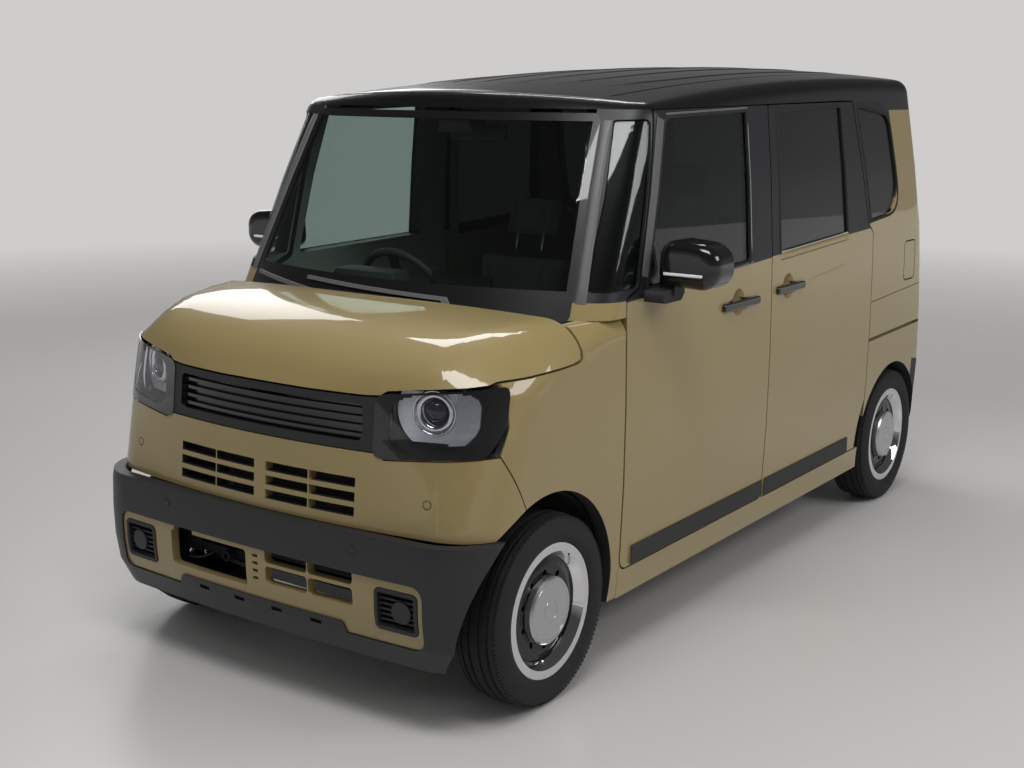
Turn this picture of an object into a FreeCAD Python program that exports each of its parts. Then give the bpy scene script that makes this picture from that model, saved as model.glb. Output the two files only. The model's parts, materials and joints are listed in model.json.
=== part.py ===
import FreeCAD, Part
import functools
import math
import os
from FreeCAD import Rotation
from FreeCAD import Vector as V

# Tall five-door kei car.  Millimetres, +X is the car's left, the nose points to -Y, +Z is up.
# The origin lies on the ground, midway between the bumpers.

os.makedirs("parts", exist_ok=True)

# ---------------------------------------------------------------- driving dimensions
WIDTH = 1475.0
HEIGHT = 1780.0
WHEELBASE = 2520.0
FRONT_OVERHANG = 436.5
REAR_OVERHANG = 438.5
TRACK = 1305.0
TYRE_RADIUS = 276.0
TYRE_WIDTH = 155.0
RIM_RADIUS = 178.0

SIDE_WALL = 82.0
UPPER_WALL = 46.0
SCREEN_WALL = 44.0
REAR_WALL = 66.0
ROOF_WALL = 40.0
SKIN = 24.0
NOSE_WALL = 44.0
BUMPER_WALL = 30.0
HOOD_WALL = 28.0
GLASS = 5.0
ROOF_FILLET = 60.0

DOOR_GAP = 6.0
SEAM = 4.0
FLANGE = 14.0
BELT_Z = 1150.0
SILL_Z = 292.0
FLOOR_Z = 236.0
FLOOR_PLATE = 26.0
FRONT_ARCH_RADIUS = TYRE_RADIUS + 67.0
REAR_ARCH_RADIUS = TYRE_RADIUS + 36.0
WELL_RADIUS = TYRE_RADIUS + 50.0

HALF = WIDTH / 2
LENGTH = FRONT_OVERHANG + WHEELBASE + REAR_OVERHANG
NOSE_Y = -LENGTH / 2
TAIL_Y = LENGTH / 2
F = NOSE_Y + FRONT_OVERHANG
R = TAIL_Y - REAR_OVERHANG
B = F + 1306.0
T = HEIGHT
WHEEL_X = TRACK / 2

# Screen plane, bottom and top on the centre line.
SCREEN_FOOT = (F + 86.0, 1083.0)
SCREEN_HEAD = (F + 401.0, T - 152.0)


# ---------------------------------------------------------------- outlines
def corners(rows, inset):
    """Corner points of a polygon of (u, v, radius) rows, moved in by inset, as (u, v, radius, turn)."""
    count = len(rows)
    area = sum(rows[i][0] * rows[(i + 1) % count][1] - rows[(i + 1) % count][0] * rows[i][1] for i in range(count))
    way = 1.0 if area > 0 else -1.0
    points = []
    for i in range(count):
        before, here, after = rows[i - 1], rows[i], rows[(i + 1) % count]
        a = V(here[0] - before[0], here[1] - before[1], 0).normalize()
        b = V(after[0] - here[0], after[1] - here[1], 0).normalize()
        na = V(-a.y, a.x, 0) * way
        nb = V(-b.y, b.x, 0) * way
        turn = (a.x * b.y - a.y * b.x) * way
        shift = (na + nb) * (inset / (1.0 + na.dot(nb)))
        radius = here[2] - inset if turn > 0 else here[2] + inset
        points.append((here[0] + shift.x, here[1] + shift.y, max(radius, 0.0) if here[2] else 0.0))
    return points


def outline(rows, place, inset=0.0):
    """Closed wire of a rounded polygon; place turns (u, v) into a point in space."""
    points = corners(rows, inset)
    count = len(points)
    tangents = []
    for i in range(count):
        p = V(points[i][0], points[i][1], 0)
        a = (V(points[i - 1][0], points[i - 1][1], 0) - p).normalize()
        b = (V(points[(i + 1) % count][0], points[(i + 1) % count][1], 0) - p).normalize()
        radius = points[i][2]
        if radius < 0.5:
            tangents.append((p, None, p))
            continue
        half = a.getAngle(b) / 2
        run = radius / math.tan(half)
        middle = (a + b).normalize()
        centre = p + middle * (radius / math.sin(half))
        tangents.append((p + a * run, centre - middle * radius, p + b * run))
    edges = []
    for i in range(count):
        start, middle, end = tangents[i]
        if middle is not None:
            edges.append(Part.Arc(place(start), place(middle), place(end)).toShape())
        following = tangents[(i + 1) % count][0]
        if (following - end).Length > 0.01:
            edges.append(Part.makeLine(place(end), place(following)))
    return Part.Wire(edges)


def side_prism(rows, inset=0.0, x0=300.0, x1=1000.0):
    """Prism along X from an outline in side view, (y, z, radius)."""
    wire = outline(rows, lambda p: V(x0, p.x, p.y), inset)
    return Part.Face(wire).extrude(V(x1 - x0, 0, 0))


def front_prism(rows, inset=0.0, y0=-2200.0, y1=0.0):
    """Prism along Y from an outline in front view, (x, z, radius)."""
    wire = outline(rows, lambda p: V(p.x, y0, p.y), inset)
    return Part.Face(wire).extrude(V(0, y1 - y0, 0))


def plan_prism(rows, inset=0.0, z0=0.0, z1=2200.0):
    """Prism along Z from an outline in plan, (x, y, radius)."""
    wire = outline(rows, lambda p: V(p.x, p.y, z0), inset)
    return Part.Face(wire).extrude(V(0, 0, z1 - z0))


def box(x0, x1, y0, y1, z0, z1):
    return Part.makeBox(x1 - x0, y1 - y0, z1 - z0, V(x0, y0, z0))


def bar_x(radius, x0, x1, y, z):
    """Round bar along X."""
    return Part.makeCylinder(radius, x1 - x0, V(x0, y, z), V(1, 0, 0))


def rod(radius, start, end):
    return Part.makeCylinder(radius, (end - start).Length, start, end - start)


def mirrored(shape):
    return shape.mirror(V(0, 0, 0), V(1, 0, 0))


def solids(shape, least=1500.0):
    """The solids of a shape as one compound, without slivers under least cubic millimetres."""
    kept = [s for s in shape.Solids if s.Volume > least]
    return kept[0] if len(kept) == 1 else Part.makeCompound(kept)


def fuse(*shapes):
    return shapes[0].multiFuse(list(shapes[1:])).removeSplitter()


NODES = {}


def node(name, shape):
    NODES[name] = solids(shape)


def node_pair(name, shape):
    node(name + "_left", shape)
    node(name + "_right", mirrored(shape))


# ---------------------------------------------------------------- body forms
def bow_corner(half, end_y, facing, bow, corner):
    """Tangent points of a plan corner: a bow of radius bow meets the straight side by a corner arc."""
    centre_y = end_y + facing * bow
    corner_x = half - corner
    corner_y = centre_y - facing * math.sqrt((bow - corner) ** 2 - corner_x**2)
    reach = bow / (bow - corner)
    start = (corner_x * reach, centre_y + (corner_y - centre_y) * reach)
    a0 = math.atan2(start[1] - corner_y, start[0] - corner_x)
    middle = (corner_x + corner * math.cos(a0 / 2), corner_y + corner * math.sin(a0 / 2))
    return start, middle, (half, corner_y)


def plan_ring(z, half, front_y, rear_y, front_corner, rear_corner, front_bow, rear_bow):
    """Eight-edge plan section: bowed ends, straight sides and tangent corner arcs."""
    ft, fm, fs = bow_corner(half, front_y, 1.0, front_bow, front_corner)
    rt, rm, rs = bow_corner(half, rear_y, -1.0, rear_bow, rear_corner)

    def at(p, side=1.0):
        return V(side * p[0], p[1], z)

    return Part.Wire([
        Part.Arc(at(ft, -1), V(0, front_y, z), at(ft)).toShape(),
        Part.Arc(at(ft), at(fm), at(fs)).toShape(),
        Part.makeLine(at(fs), at(rs)),
        Part.Arc(at(rs), at(rm), at(rt)).toShape(),
        Part.Arc(at(rt), V(0, rear_y, z), at(rt, -1)).toShape(),
        Part.Arc(at(rt, -1), at(rm, -1), at(rs, -1)).toShape(),
        Part.makeLine(at(rs, -1), at(fs, -1)),
        Part.Arc(at(fs, -1), at(fm, -1), at(ft, -1)).toShape(),
    ])


def top_section(y, top, half, bow, corner):
    """Cross-section under a crowned top with rounded shoulders, open downwards to the ground."""
    start, middle, end = bow_corner(half, -top, 1.0, bow, corner)

    def at(p, side=1.0):
        return V(side * p[0], y, -p[1])

    return Part.Wire([
        Part.Arc(at(start, -1), V(0, y, top), at(start)).toShape(),
        Part.Arc(at(start), at(middle), at(end)).toShape(),
        Part.makeLine(at(end), V(half, y, 0)),
        Part.makeLine(V(half, y, 0), V(-half, y, 0)),
        Part.makeLine(V(-half, y, 0), at(end, -1)),
        Part.Arc(at(end, -1), at(middle, -1), at(start, -1)).toShape(),
    ])


# Height, how far the side stands in from half the width.
SIDES = (
    (180.0, 24.0), (320.0, 12.0), (560.0, 2.0), (800.0, 0.0), (1000.0, 3.0), (BELT_Z, 7.0),
    (T - 380.0, 23.0), (T + 20.0, 62.0),
)
# Nose, per height in SIDES: how far the front stands back, corner radius, bow radius.
NOSE_FRONT = (
    (62.0, 150.0, 5000.0), (45.0, 165.0, 4500.0), (31.0, 180.0, 3600.0),
    (45.0, 200.0, 2400.0), (56.0, 220.0, 1750.0), (84.0, 230.0, 1600.0),
)
# Bonnet, per station behind the nose: height, bow radius, shoulder radius.
BONNET = (
    (30.0, 862.0, 3200.0, 280.0), (97.0, 985.0, 3600.0, 275.0), (175.0, 1035.0, 4600.0, 265.0),
    (242.0, 1059.0, 7000.0, 235.0), (326.0, 1077.0, 10000.0, 190.0), (454.0, 1091.0, 12000.0, 150.0),
    (631.0, 1101.0, 12000.0, 115.0), (1000.0, 1114.0, 12000.0, 100.0),
)
# Cabin, per height in SIDES: how far the rear stands in, rear corner radius.
CABIN_REAR = (
    (52.0, 130.0), (22.0, 135.0), (14.0, 140.0), (32.0, 140.0), (52.0, 140.0), (74.0, 140.0),
    (138.0, 140.0), (236.0, 130.0),
)
REAR_BOW = 4500.0
ROOF_CHANNEL_X = 520.0
# Roof crown: one arc across, turned about an axis along X below the highest point.
CROWN_RADIUS = 5000.0
CROWN_LENGTH_RADIUS = 17500.0
CROWN_Y = R - 330.0


def screen_y(z):
    """Centre line of the screen plane, carried on down through the firewall."""
    slope = (SCREEN_HEAD[0] - SCREEN_FOOT[0]) / (SCREEN_HEAD[1] - SCREEN_FOOT[1])
    return SCREEN_FOOT[0] + (z - SCREEN_FOOT[1]) * slope


def screen_bow(z):
    return 1581.0 + (2113.0 - 1581.0) * max(z - SCREEN_FOOT[1], 0.0) / (SCREEN_HEAD[1] - SCREEN_FOOT[1])


def ruled(sections):
    """Solid through closed sections, ruled from each to the next."""
    return Part.makeLoft(sections, True, True)


@functools.lru_cache(maxsize=None)
def nose_form(wall):
    """The body ahead of the doors, wall inside its skin."""
    rings = []
    for (z, inset), (back, corner, bow) in zip(SIDES, NOSE_FRONT):
        rings.append(plan_ring(z, HALF - inset - wall, NOSE_Y + back + wall, F + 720.0,
                               corner - wall, 20.0, bow - wall, 20000.0))
    stations = []
    for back, top, bow, shoulder in BONNET:
        stations.append(top_section(NOSE_Y + back + wall * (1 if back < 100.0 else 0), top - wall,
                                    HALF + 3.0 - wall, bow - wall, shoulder - wall))
    return ruled(rings).common(ruled(stations))


def crown_form(drop):
    """Everything under the roof crown, drop below its skin."""
    top = T - drop
    radius = CROWN_RADIUS - drop
    edge = top - radius + math.sqrt(radius**2 - 760.0**2)
    section = Part.Face(Part.Wire([
        Part.Arc(V(-760, CROWN_Y, edge), V(0, CROWN_Y, top), V(760, CROWN_Y, edge)).toShape(),
        Part.makeLine(V(760, CROWN_Y, edge), V(760, CROWN_Y, 0)),
        Part.makeLine(V(760, CROWN_Y, 0), V(-760, CROWN_Y, 0)),
        Part.makeLine(V(-760, CROWN_Y, 0), V(-760, CROWN_Y, edge)),
    ]))
    axis = V(0, CROWN_Y, T - CROWN_LENGTH_RADIUS)
    section.rotate(axis, V(1, 0, 0), -4.0)
    return section.revolve(axis, V(1, 0, 0), 12.0)


def crown_ring(x0, x1, depth):
    """A strip of the roof surface from x0 to x1, down to depth, for the length of the roof."""
    edge = T - CROWN_RADIUS + math.sqrt(CROWN_RADIUS**2 - x0**2)
    section = Part.Face(Part.makePolygon([V(x0, CROWN_Y, edge - depth), V(x1, CROWN_Y, edge - depth),
                                          V(x1, CROWN_Y, edge + 20.0), V(x0, CROWN_Y, edge + 20.0),
                                          V(x0, CROWN_Y, edge - depth)]))
    axis = V(0, CROWN_Y, T - CROWN_LENGTH_RADIUS)
    section.rotate(axis, V(1, 0, 0), -1.9)
    return section.revolve(axis, V(1, 0, 0), 7.2)


@functools.lru_cache(maxsize=None)
def cabin_form(side, upper, screen, rear, roof, fillet):
    """The body from the firewall back, with each wall inside the skin by its own thickness."""
    rings = []
    for (z, inset), (back, corner) in zip(SIDES, CABIN_REAR):
        share = min(max((z - 900.0) / 400.0, 0.0), 1.0)
        wall = side + (upper - side) * share
        rings.append(plan_ring(z, HALF - inset - wall, screen_y(z) + screen, TAIL_Y - back - rear,
                               105.0 - min(wall, 60.0), corner - min(rear, 60.0),
                               screen_bow(z) - screen, REAR_BOW - rear))
    form = ruled(rings).common(crown_form(roof))
    top = max(form.Faces, key=lambda f: f.CenterOfMass.z)
    return form.makeFillet(fillet, top.Edges)


SCREEN_GLASS = 5.0
LIP = 12.0
DOOR_GLASS_DEPTH = 7.0

NOSE = nose_form(0.0)
NOSE_MID = nose_form(HOOD_WALL)
NOSE_INNER = nose_form(NOSE_WALL)
CABIN = cabin_form(0.0, 0.0, 0.0, 0.0, 0.0, ROOF_FILLET)
CABIN_MID = cabin_form(SKIN, SKIN, SKIN, SKIN, SKIN, ROOF_FILLET - SKIN)
CABIN_INNER = cabin_form(SIDE_WALL, UPPER_WALL, SCREEN_WALL, REAR_WALL, ROOF_WALL, ROOF_FILLET - ROOF_WALL)


def depth_form(depth):
    return cabin_form(depth, depth, depth, depth, depth, ROOF_FILLET - depth)


GLASS_BACK = depth_form(SCREEN_GLASS)
SCREEN_SHELL = CABIN.cut(GLASS_BACK)
PANE_BACK = depth_form(DOOR_GLASS_DEPTH + GLASS)
OUTER_LAYER = CABIN.cut(CABIN_MID)
INNER_LAYER = CABIN_MID.cut(CABIN_INNER)
CABIN_SHELL = CABIN.cut(CABIN_INNER)
NOSE_LIP = nose_form(LIP)
NOSE_SKIN = NOSE.cut(NOSE_LIP)
BONNET_LAYER = NOSE.cut(NOSE_MID)
LEFT = box(440.0, 1000.0, F, TAIL_Y + 100, 0.0, T + 100)
LEFT_OUTER = OUTER_LAYER.common(LEFT)
LEFT_INNER = INNER_LAYER.common(LEFT)
PANE_SHELL = depth_form(DOOR_GLASS_DEPTH).cut(PANE_BACK).common(LEFT)

# ---------------------------------------------------------------- outlines of the panels
SHOULDER_Z = 1060.0
ARCH_F = (F - 39.0, 285.0)
ARCH_R = (R - 19.0, 279.0)
ROOF_EDGE = (
    (F - 500.0, T - 146.0, 0), (F + 550.0, T - 138.0, 200), (R - 560.0, T - 122.0, 400), (R - 220.0, T - 128.0, 60),
    (R - 140.0, T - 162.0, 40), (R + 600.0, T - 166.0, 0), (R + 600.0, T + 200.0, 0), (F - 500.0, T + 200.0, 0),
)
FRONT_DOOR = (
    (F + 350.0, SILL_Z, 40), (B, SILL_Z, 20), (B, T - 130.0, 12), (F + 560.0, T - 137.0, 18),
    (F + 421.0, 1136.0, 25), (F + 350.0, 1112.0, 12),
)
REAR_DOOR = (
    (B, SILL_Z, 20), (R - 304.0, SILL_Z, 20), (R - 304.0, 1150.0, 30), (R - 352.0, 1192.0, 30), (R - 488.0, T - 124.0, 20),
    (B, T - 130.0, 12),
)
DOOR_PANE = (
    (F + 470.0, 1132.0, 12), (B - 166.0, 1146.0, 12), (B - 166.0, T - 152.0, 14), (F + 617.0, T - 166.0, 25),
)
REAR_PANE = (
    (B + 72.0, 1122.0, 12), (R - 556.0, 1143.0, 12), (R - 606.0, T - 146.0, 14), (B + 72.0, T - 156.0, 14),
)
QUARTER_PANE = (
    (R - 322.0, 1202.0, 12), (R - 25.0, 1222.0, 115), (R - 128.0, T - 186.0, 60), (R - 440.0, T - 146.0, 14),
)
VENT_PANE = (
    (F + 250.0, 1132.0, 10), (F + 410.0, 1140.0, 12), (F + 545.0, T - 164.0, 14), (F + 480.0, T - 168.0, 10),
)
SCREEN = ((-634.0, 1052.0, 20), (634.0, 1052.0, 20), (556.0, T - 150.0, 30), (-556.0, T - 150.0, 30))
FENDER = (
    (F + 347.0, 208.0, 8), (F + 347.0, SHOULDER_Z, 0), (F + 117.0, SHOULDER_Z, 0), (F + 117.0, 968.0, 12),
    (F - 200.0, 956.0, 6), (F - 203.0, 838.0, 30), (F - 233.0, 770.0, 12), (F - 146.0, 603.0, 0), (F - 146.0, 208.0, 0),
)
BONNET_SIDE = (
    (NOSE_Y - 50.0, 860.0, 0), (F - 203.0, 956.0, 60), (F + 117.0, 968.0, 20), (F + 117.0, 1400.0, 0),
    (NOSE_Y - 50.0, 1400.0, 0),
)
BONNET_FRONT = (
    (-900.0, 962.0, 0), (-735.0, 956.0, 60), (-421.0, 921.0, 30), (-399.0, 905.0, 30), (399.0, 905.0, 30),
    (421.0, 921.0, 30), (735.0, 956.0, 60), (900.0, 962.0, 0), (900.0, 1400.0, 0), (-900.0, 1400.0, 0),
)
BONNET_PLAN = (
    (-900.0, F + 117.0, 0), (-640.0, F + 110.0, 300), (0.0, F + 66.0, 2500), (640.0, F + 110.0, 300), (900.0, F + 117.0, 0),
    (900.0, NOSE_Y - 100.0, 0), (-900.0, NOSE_Y - 100.0, 0),
)
LAMP_FRONT = ((416.0, 741.0, 30), (725.0, 768.0, 0), (900.0, 780.0, 0), (900.0, 962.0, 0), (735.0, 956.0, 60), (416.0, 921.0, 25))
LAMP_SIDE = (
    (NOSE_Y - 60.0, 600.0, 0), (F - 300.0, 600.0, 0), (F - 233.0, 770.0, 12), (F - 203.0, 838.0, 30), (F - 200.0, 1100.0, 0),
    (NOSE_Y - 60.0, 1100.0, 0),
)
GRILLE = ((-416.0, 757.0, 6), (416.0, 757.0, 6), (416.0, 921.0, 22), (-416.0, 921.0, 22))
GRILLE_PANEL = ((-352.0, 784.0, 16), (352.0, 784.0, 16), (352.0, 882.0, 16), (-352.0, 882.0, 16))
GRILLE_RIBS = (796.0, 819.0, 842.0, 865.0)
RIB_HEIGHT = 9.0
BUMPER_SIDE = (
    (NOSE_Y - 60.0, 545.0, 0), (F - 100.0, 545.0, 0), (F - 146.0, 603.0, 0), (F - 233.0, 770.0, 12), (F - 233.0, 1000.0, 0),
    (NOSE_Y - 60.0, 1000.0, 0),
)
BUMPER_FRONT = (
    (-900.0, 545.0, 0), (900.0, 545.0, 0), (900.0, 780.0, 0), (725.0, 768.0, 0), (418.0, 741.0, 10), (416.0, 757.0, 6),
    (-416.0, 757.0, 6), (-418.0, 741.0, 10), (-725.0, 768.0, 0), (-900.0, 780.0, 0),
)
SLOT_ROWS = (590.0, 630.0, 670.0)
SLOT_HEIGHT = 26.0
SLOT_SPANS = ((-338.0, -182.0), (-178.0, -22.0), (22.0, 178.0), (182.0, 338.0))
TAILGATE = (
    (-604.0, 552.0, 60), (604.0, 552.0, 60), (600.0, 1100.0, 300), (548.0, T - 130.0, 60), (548.0, T + 200.0, 0),
    (-548.0, T + 200.0, 0), (-548.0, T - 130.0, 60), (-600.0, 1100.0, 300),
)
REAR_SCREEN = ((-512.0, 1120.0, 60), (512.0, 1120.0, 60), (468.0, T - 200.0, 50), (-468.0, T - 200.0, 50))
TAIL_LAMP = ((618.0, 640.0, 20), (900.0, 640.0, 0), (900.0, 1010.0, 0), (622.0, 1010.0, 20))
LAMP_DEPTH_Y = R + 335.0
REAR_BUMPER = (
    (R + 200.0, 196.0, 0), (TAIL_Y + 60.0, 196.0, 0), (TAIL_Y + 60.0, 552.0, 0), (R + 330.0, 552.0, 40), (R + 200.0, 575.0, 0),
)
FUEL_LID = ((R + 45.0, 925.0, 22), (R + 165.0, 925.0, 22), (R + 165.0, 1085.0, 22), (R + 45.0, 1085.0, 22))
TAILGATE_TOP_Y = R + 189.0


def seamed(wall, region, room):
    """A fixed nose panel: its skin stops short of the seam, its flange meets the neighbour face to face."""
    skin = NOSE_SKIN.common(region(SEAM / 2))
    return skin.fuse(NOSE_LIP.cut(nose_form(wall)).common(region(0.0))).cut(room)


def framed(shell, rows, pane_shell, lip=16.0):
    """Cuts a window with a channel for its pane; returns the shell and the pane."""
    pane = pane_shell.common(side_prism(rows, -lip))
    return shell.cut(side_prism(rows)).cut(pane), pane


def arch_cut(radius, centre, x0=300.0):
    return bar_x(radius, x0, 1000.0, centre[0], centre[1])


# ---------------------------------------------------------------- side doors
# Along the side, (y from, y to, height).
FRONT_HANDLE = (F + 940.0, F + 1200.0, 1011.0)
REAR_HANDLE = (B - 13.0 + 48.0, B - 13.0 + 268.0, 1022.0)
FRONT_MOULDING = (F + 406.0, B - 8.0)
REAR_MOULDING = (B + 8.0, R - 458.0)
RAIL = (R - 301.0, R + 302.0)
MOULDING_Z = (300.0, 360.0)
GRIP_OUT = 10.0
MOULDING_OUT = -4.0


def side_bar(y0, y1, z0, z1, corner, rise=0.0, x0=300.0, x1=1000.0):
    """Prism of a bar in side view, its rear end higher by rise."""
    rows = ((y0, z0, corner), (y1, z0 + rise, corner), (y1, z1 + rise, corner), (y0, z1, corner))
    return side_prism(rows, 0.0, x0, x1)


def side_door(rows, handle, moulding):
    edge = DOOR_GAP / 2
    skin = LEFT_OUTER.common(side_prism(rows, edge))
    inner = LEFT_INNER.common(side_prism(rows, edge + FLANGE))
    y0, y1, z = handle
    cup = Part.makeSphere(60.0, V(HALF + 37.0, (y0 + y1) / 2 - 12.0, z + 8.0))
    grip = side_bar(y0, y1, z - 14.0, z + 14.0, 13.0, 0.0, HALF - 1.0, HALF + GRIP_OUT)
    grip = grip.makeFillet(5.0, [e for e in grip.Edges if e.BoundBox.XMin > HALF + GRIP_OUT - 1.0])
    feet = [side_bar(a, b, z - 13.0, z + 13.0, 12.0, 0.0, HALF - 12.0, HALF + 4.0)
            for a, b in ((y0 + 1.0, y0 + 44.0), (y1 - 58.0, y1 - 1.0))]
    strip = side_bar(moulding[0], moulding[1], MOULDING_Z[0], MOULDING_Z[1], 4.0, 0.0, HALF - 18.0, HALF + MOULDING_OUT)
    strip = strip.makeChamfer(3.0, [e for e in strip.Edges if e.BoundBox.XMin > HALF + MOULDING_OUT - 1.0])
    return skin.multiFuse([inner, strip]).cut(cup).multiFuse([grip] + feet)


front_door, front_pane = framed(side_door(FRONT_DOOR, FRONT_HANDLE, FRONT_MOULDING), DOOR_PANE, PANE_SHELL)
node_pair("front_door", front_door)
node_pair("front_door_glass", front_pane)

rear_door = side_door(REAR_DOOR, REAR_HANDLE, REAR_MOULDING).cut(arch_cut(REAR_ARCH_RADIUS + 40.0, ARCH_R))
rear_door, rear_pane = framed(rear_door, REAR_PANE, PANE_SHELL)
node_pair("sliding_door", rear_door)

# ---------------------------------------------------------------- roof, body sides and rear
PLATE_HALF = 185.0
PLATE_Y = TAIL_Y - 52.0
PLATE_LOW = 640.0
PLATE_PITCH = 210.0
PLATE_HOLE_RADIUS = 3.3
PLATE_HOLE_Z = 795.0


def front_bar(x0, x1, z, height, y0=NOSE_Y - 60.0, y1=F - 260.0):
    """Prism of a flat bar in front view, with rounded ends."""
    return front_prism(((x0, z - height / 2, 2.8), (x1, z - height / 2, 2.8), (x1, z + height / 2, 2.8),
                        (x0, z + height / 2, 2.8)), 0.0, y0, y1)


roof_region = side_prism(ROOF_EDGE, 0.0, -1000.0)
tailgate_region = front_prism(TAILGATE, 0.0, R + 40.0, TAIL_Y + 200.0).cut(
    box(-900, 900, R, TAILGATE_TOP_Y, T - 220.0, T + 100))
tailgate_opening = front_prism(TAILGATE, -DOOR_GAP, R + 20.0, TAIL_Y + 200.0).cut(
    box(-900, 900, R, TAILGATE_TOP_Y - DOOR_GAP, T - 220.0, T + 100))
screen_region = front_prism(SCREEN, 0.0, -2200.0, F + 700.0)
screen_opening = front_prism(SCREEN, 16.0, -2200.0, F + 700.0)
screen_seat = SCREEN_SHELL.common(screen_region)

roof = CABIN_SHELL.common(roof_region).cut(tailgate_opening).cut(screen_seat).cut(screen_opening)
channels = [crown_ring(x, x + 9.0, 7.0) for x in (ROOF_CHANNEL_X, -ROOF_CHANNEL_X - 9.0)]
node("roof_panel", roof.cut(Part.makeCompound(channels)))
node("windshield", screen_seat)

side = CABIN_SHELL.common(box(540.0, 1000.0, F - 200.0, TAIL_Y + 50, 205.0, T))
side = side.cut(roof_region).cut(tailgate_opening).cut(screen_seat).cut(screen_opening)
side = side.cut(side_prism(FRONT_DOOR, -DOOR_GAP / 2)).cut(side_prism(REAR_DOOR, -DOOR_GAP / 2))
side = side.cut(box(300, 1000, F - 300.0, F + 347.0, 0.0, SHOULDER_Z))
side = side.cut(arch_cut(REAR_ARCH_RADIUS, ARCH_R))
side = side.cut(LEFT_OUTER.common(side_prism(REAR_BUMPER)))
side = side.cut(LEFT_OUTER.common(side_bar(RAIL[0], RAIL[1], 715.0, 729.0, 6.0, 12.0)))
side = side.cut(SCREEN_SHELL.common(side_bar(RAIL[0], RAIL[1], 873.0, 877.0, 0.0, 24.0)))
side, quarter_pane = framed(side, QUARTER_PANE, PANE_SHELL)
side, vent_pane = framed(side, VENT_PANE, PANE_SHELL, 10.0)
side = side.cut(LEFT_OUTER.common(front_prism(TAIL_LAMP, 0.0, LAMP_DEPTH_Y, TAIL_Y + 60)))
tail_lamp = LEFT_OUTER.common(front_prism(TAIL_LAMP, SEAM / 2, LAMP_DEPTH_Y + SEAM, TAIL_Y + 60))
node("tail_lamps", Part.makeCompound([tail_lamp, mirrored(tail_lamp)]))
lid = CABIN.cut(PANE_BACK).common(side_prism(FUEL_LID, DOOR_GAP / 2))
LID_PIN = (HALF - 10.0, R + 61.0)


def lid_rod(radius):
    low, high = FUEL_LID[0][1] - DOOR_GAP, FUEL_LID[2][1] + DOOR_GAP
    return Part.makeCylinder(radius, high - low, V(LID_PIN[0], LID_PIN[1], low))


side_left = side.cut(LEFT_OUTER.common(side_prism(FUEL_LID, -DOOR_GAP / 2))).fuse(lid_rod(2.5))
node("side_frame_left", side_left)
node("side_frame_right", mirrored(side))
node("fuel_lid", lid.cut(lid_rod(2.8)))
panes = [rear_pane, quarter_pane, vent_pane]
node("side_glass", Part.makeCompound(panes + [mirrored(pane) for pane in panes]))

bumper = OUTER_LAYER.common(side_prism(REAR_BUMPER, 0.0, -1000.0)).cut(arch_cut(REAR_ARCH_RADIUS, ARCH_R))
bumper = bumper.cut(mirrored(arch_cut(REAR_ARCH_RADIUS, ARCH_R))).cut(tailgate_opening)
node("rear_bumper", bumper)
node("rear_panel", INNER_LAYER.common(box(-540, 540, R + 300.0, TAIL_Y + 50, 205.0, 546.0)))

tailgate = CABIN_SHELL.common(tailgate_region)
hatch_seat = SCREEN_SHELL.common(front_prism(REAR_SCREEN, -20.0, R, TAIL_Y + 100))
tailgate = tailgate.cut(hatch_seat).cut(front_prism(REAR_SCREEN, 0.0, R, TAIL_Y + 100))
tailgate = tailgate.cut(box(-PLATE_HALF, PLATE_HALF, PLATE_Y, TAIL_Y + 50, PLATE_LOW, PLATE_LOW + 190.0))
tailgate = tailgate.cut(front_bar(-190.0, 190.0, PLATE_LOW + 214.0, 34.0, PLATE_Y - 14.0, TAIL_Y + 50))
for x in (-PLATE_PITCH / 2, PLATE_PITCH / 2):
    tailgate = tailgate.cut(rod(PLATE_HOLE_RADIUS, V(x, PLATE_Y - 24.0, PLATE_HOLE_Z), V(x, PLATE_Y + 2.0, PLATE_HOLE_Z)))
node("tailgate", tailgate)
node("tailgate_glass", hatch_seat)

# ---------------------------------------------------------------- nose
def bonnet_prism(inset):
    return side_prism(BONNET_SIDE, inset, -1000.0).common(front_prism(BONNET_FRONT, inset)).common(
        plan_prism(BONNET_PLAN, inset))


bonnet_room = bonnet_prism(-DOOR_GAP / 2)
node("hood", BONNET_LAYER.common(bonnet_prism(DOOR_GAP / 2)))
front_arches = arch_cut(FRONT_ARCH_RADIUS, ARCH_F).fuse(mirrored(arch_cut(FRONT_ARCH_RADIUS, ARCH_F)))
fender = seamed(NOSE_WALL, lambda inset: side_prism(FENDER, inset, HALF - 2 * NOSE_WALL), bonnet_room)
node_pair("front_fender", fender.cut(front_arches))


def lamp_region(inset):
    return front_prism(LAMP_FRONT, inset).common(side_prism(LAMP_SIDE, inset))


# Lamp parts look out and a little sideways: depth below the lens, radius.
LAMP_FACE = V(580.0, NOSE_Y + 130.0, 872.0)
LAMP_WAY = V(math.sin(math.radians(18.0)), -math.cos(math.radians(18.0)), 0.0)
LAMP_DEPTH = 56.0


def lamp_rod(radius, depth):
    return rod(radius, LAMP_FACE - LAMP_WAY * LAMP_DEPTH, LAMP_FACE - LAMP_WAY * depth)


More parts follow.
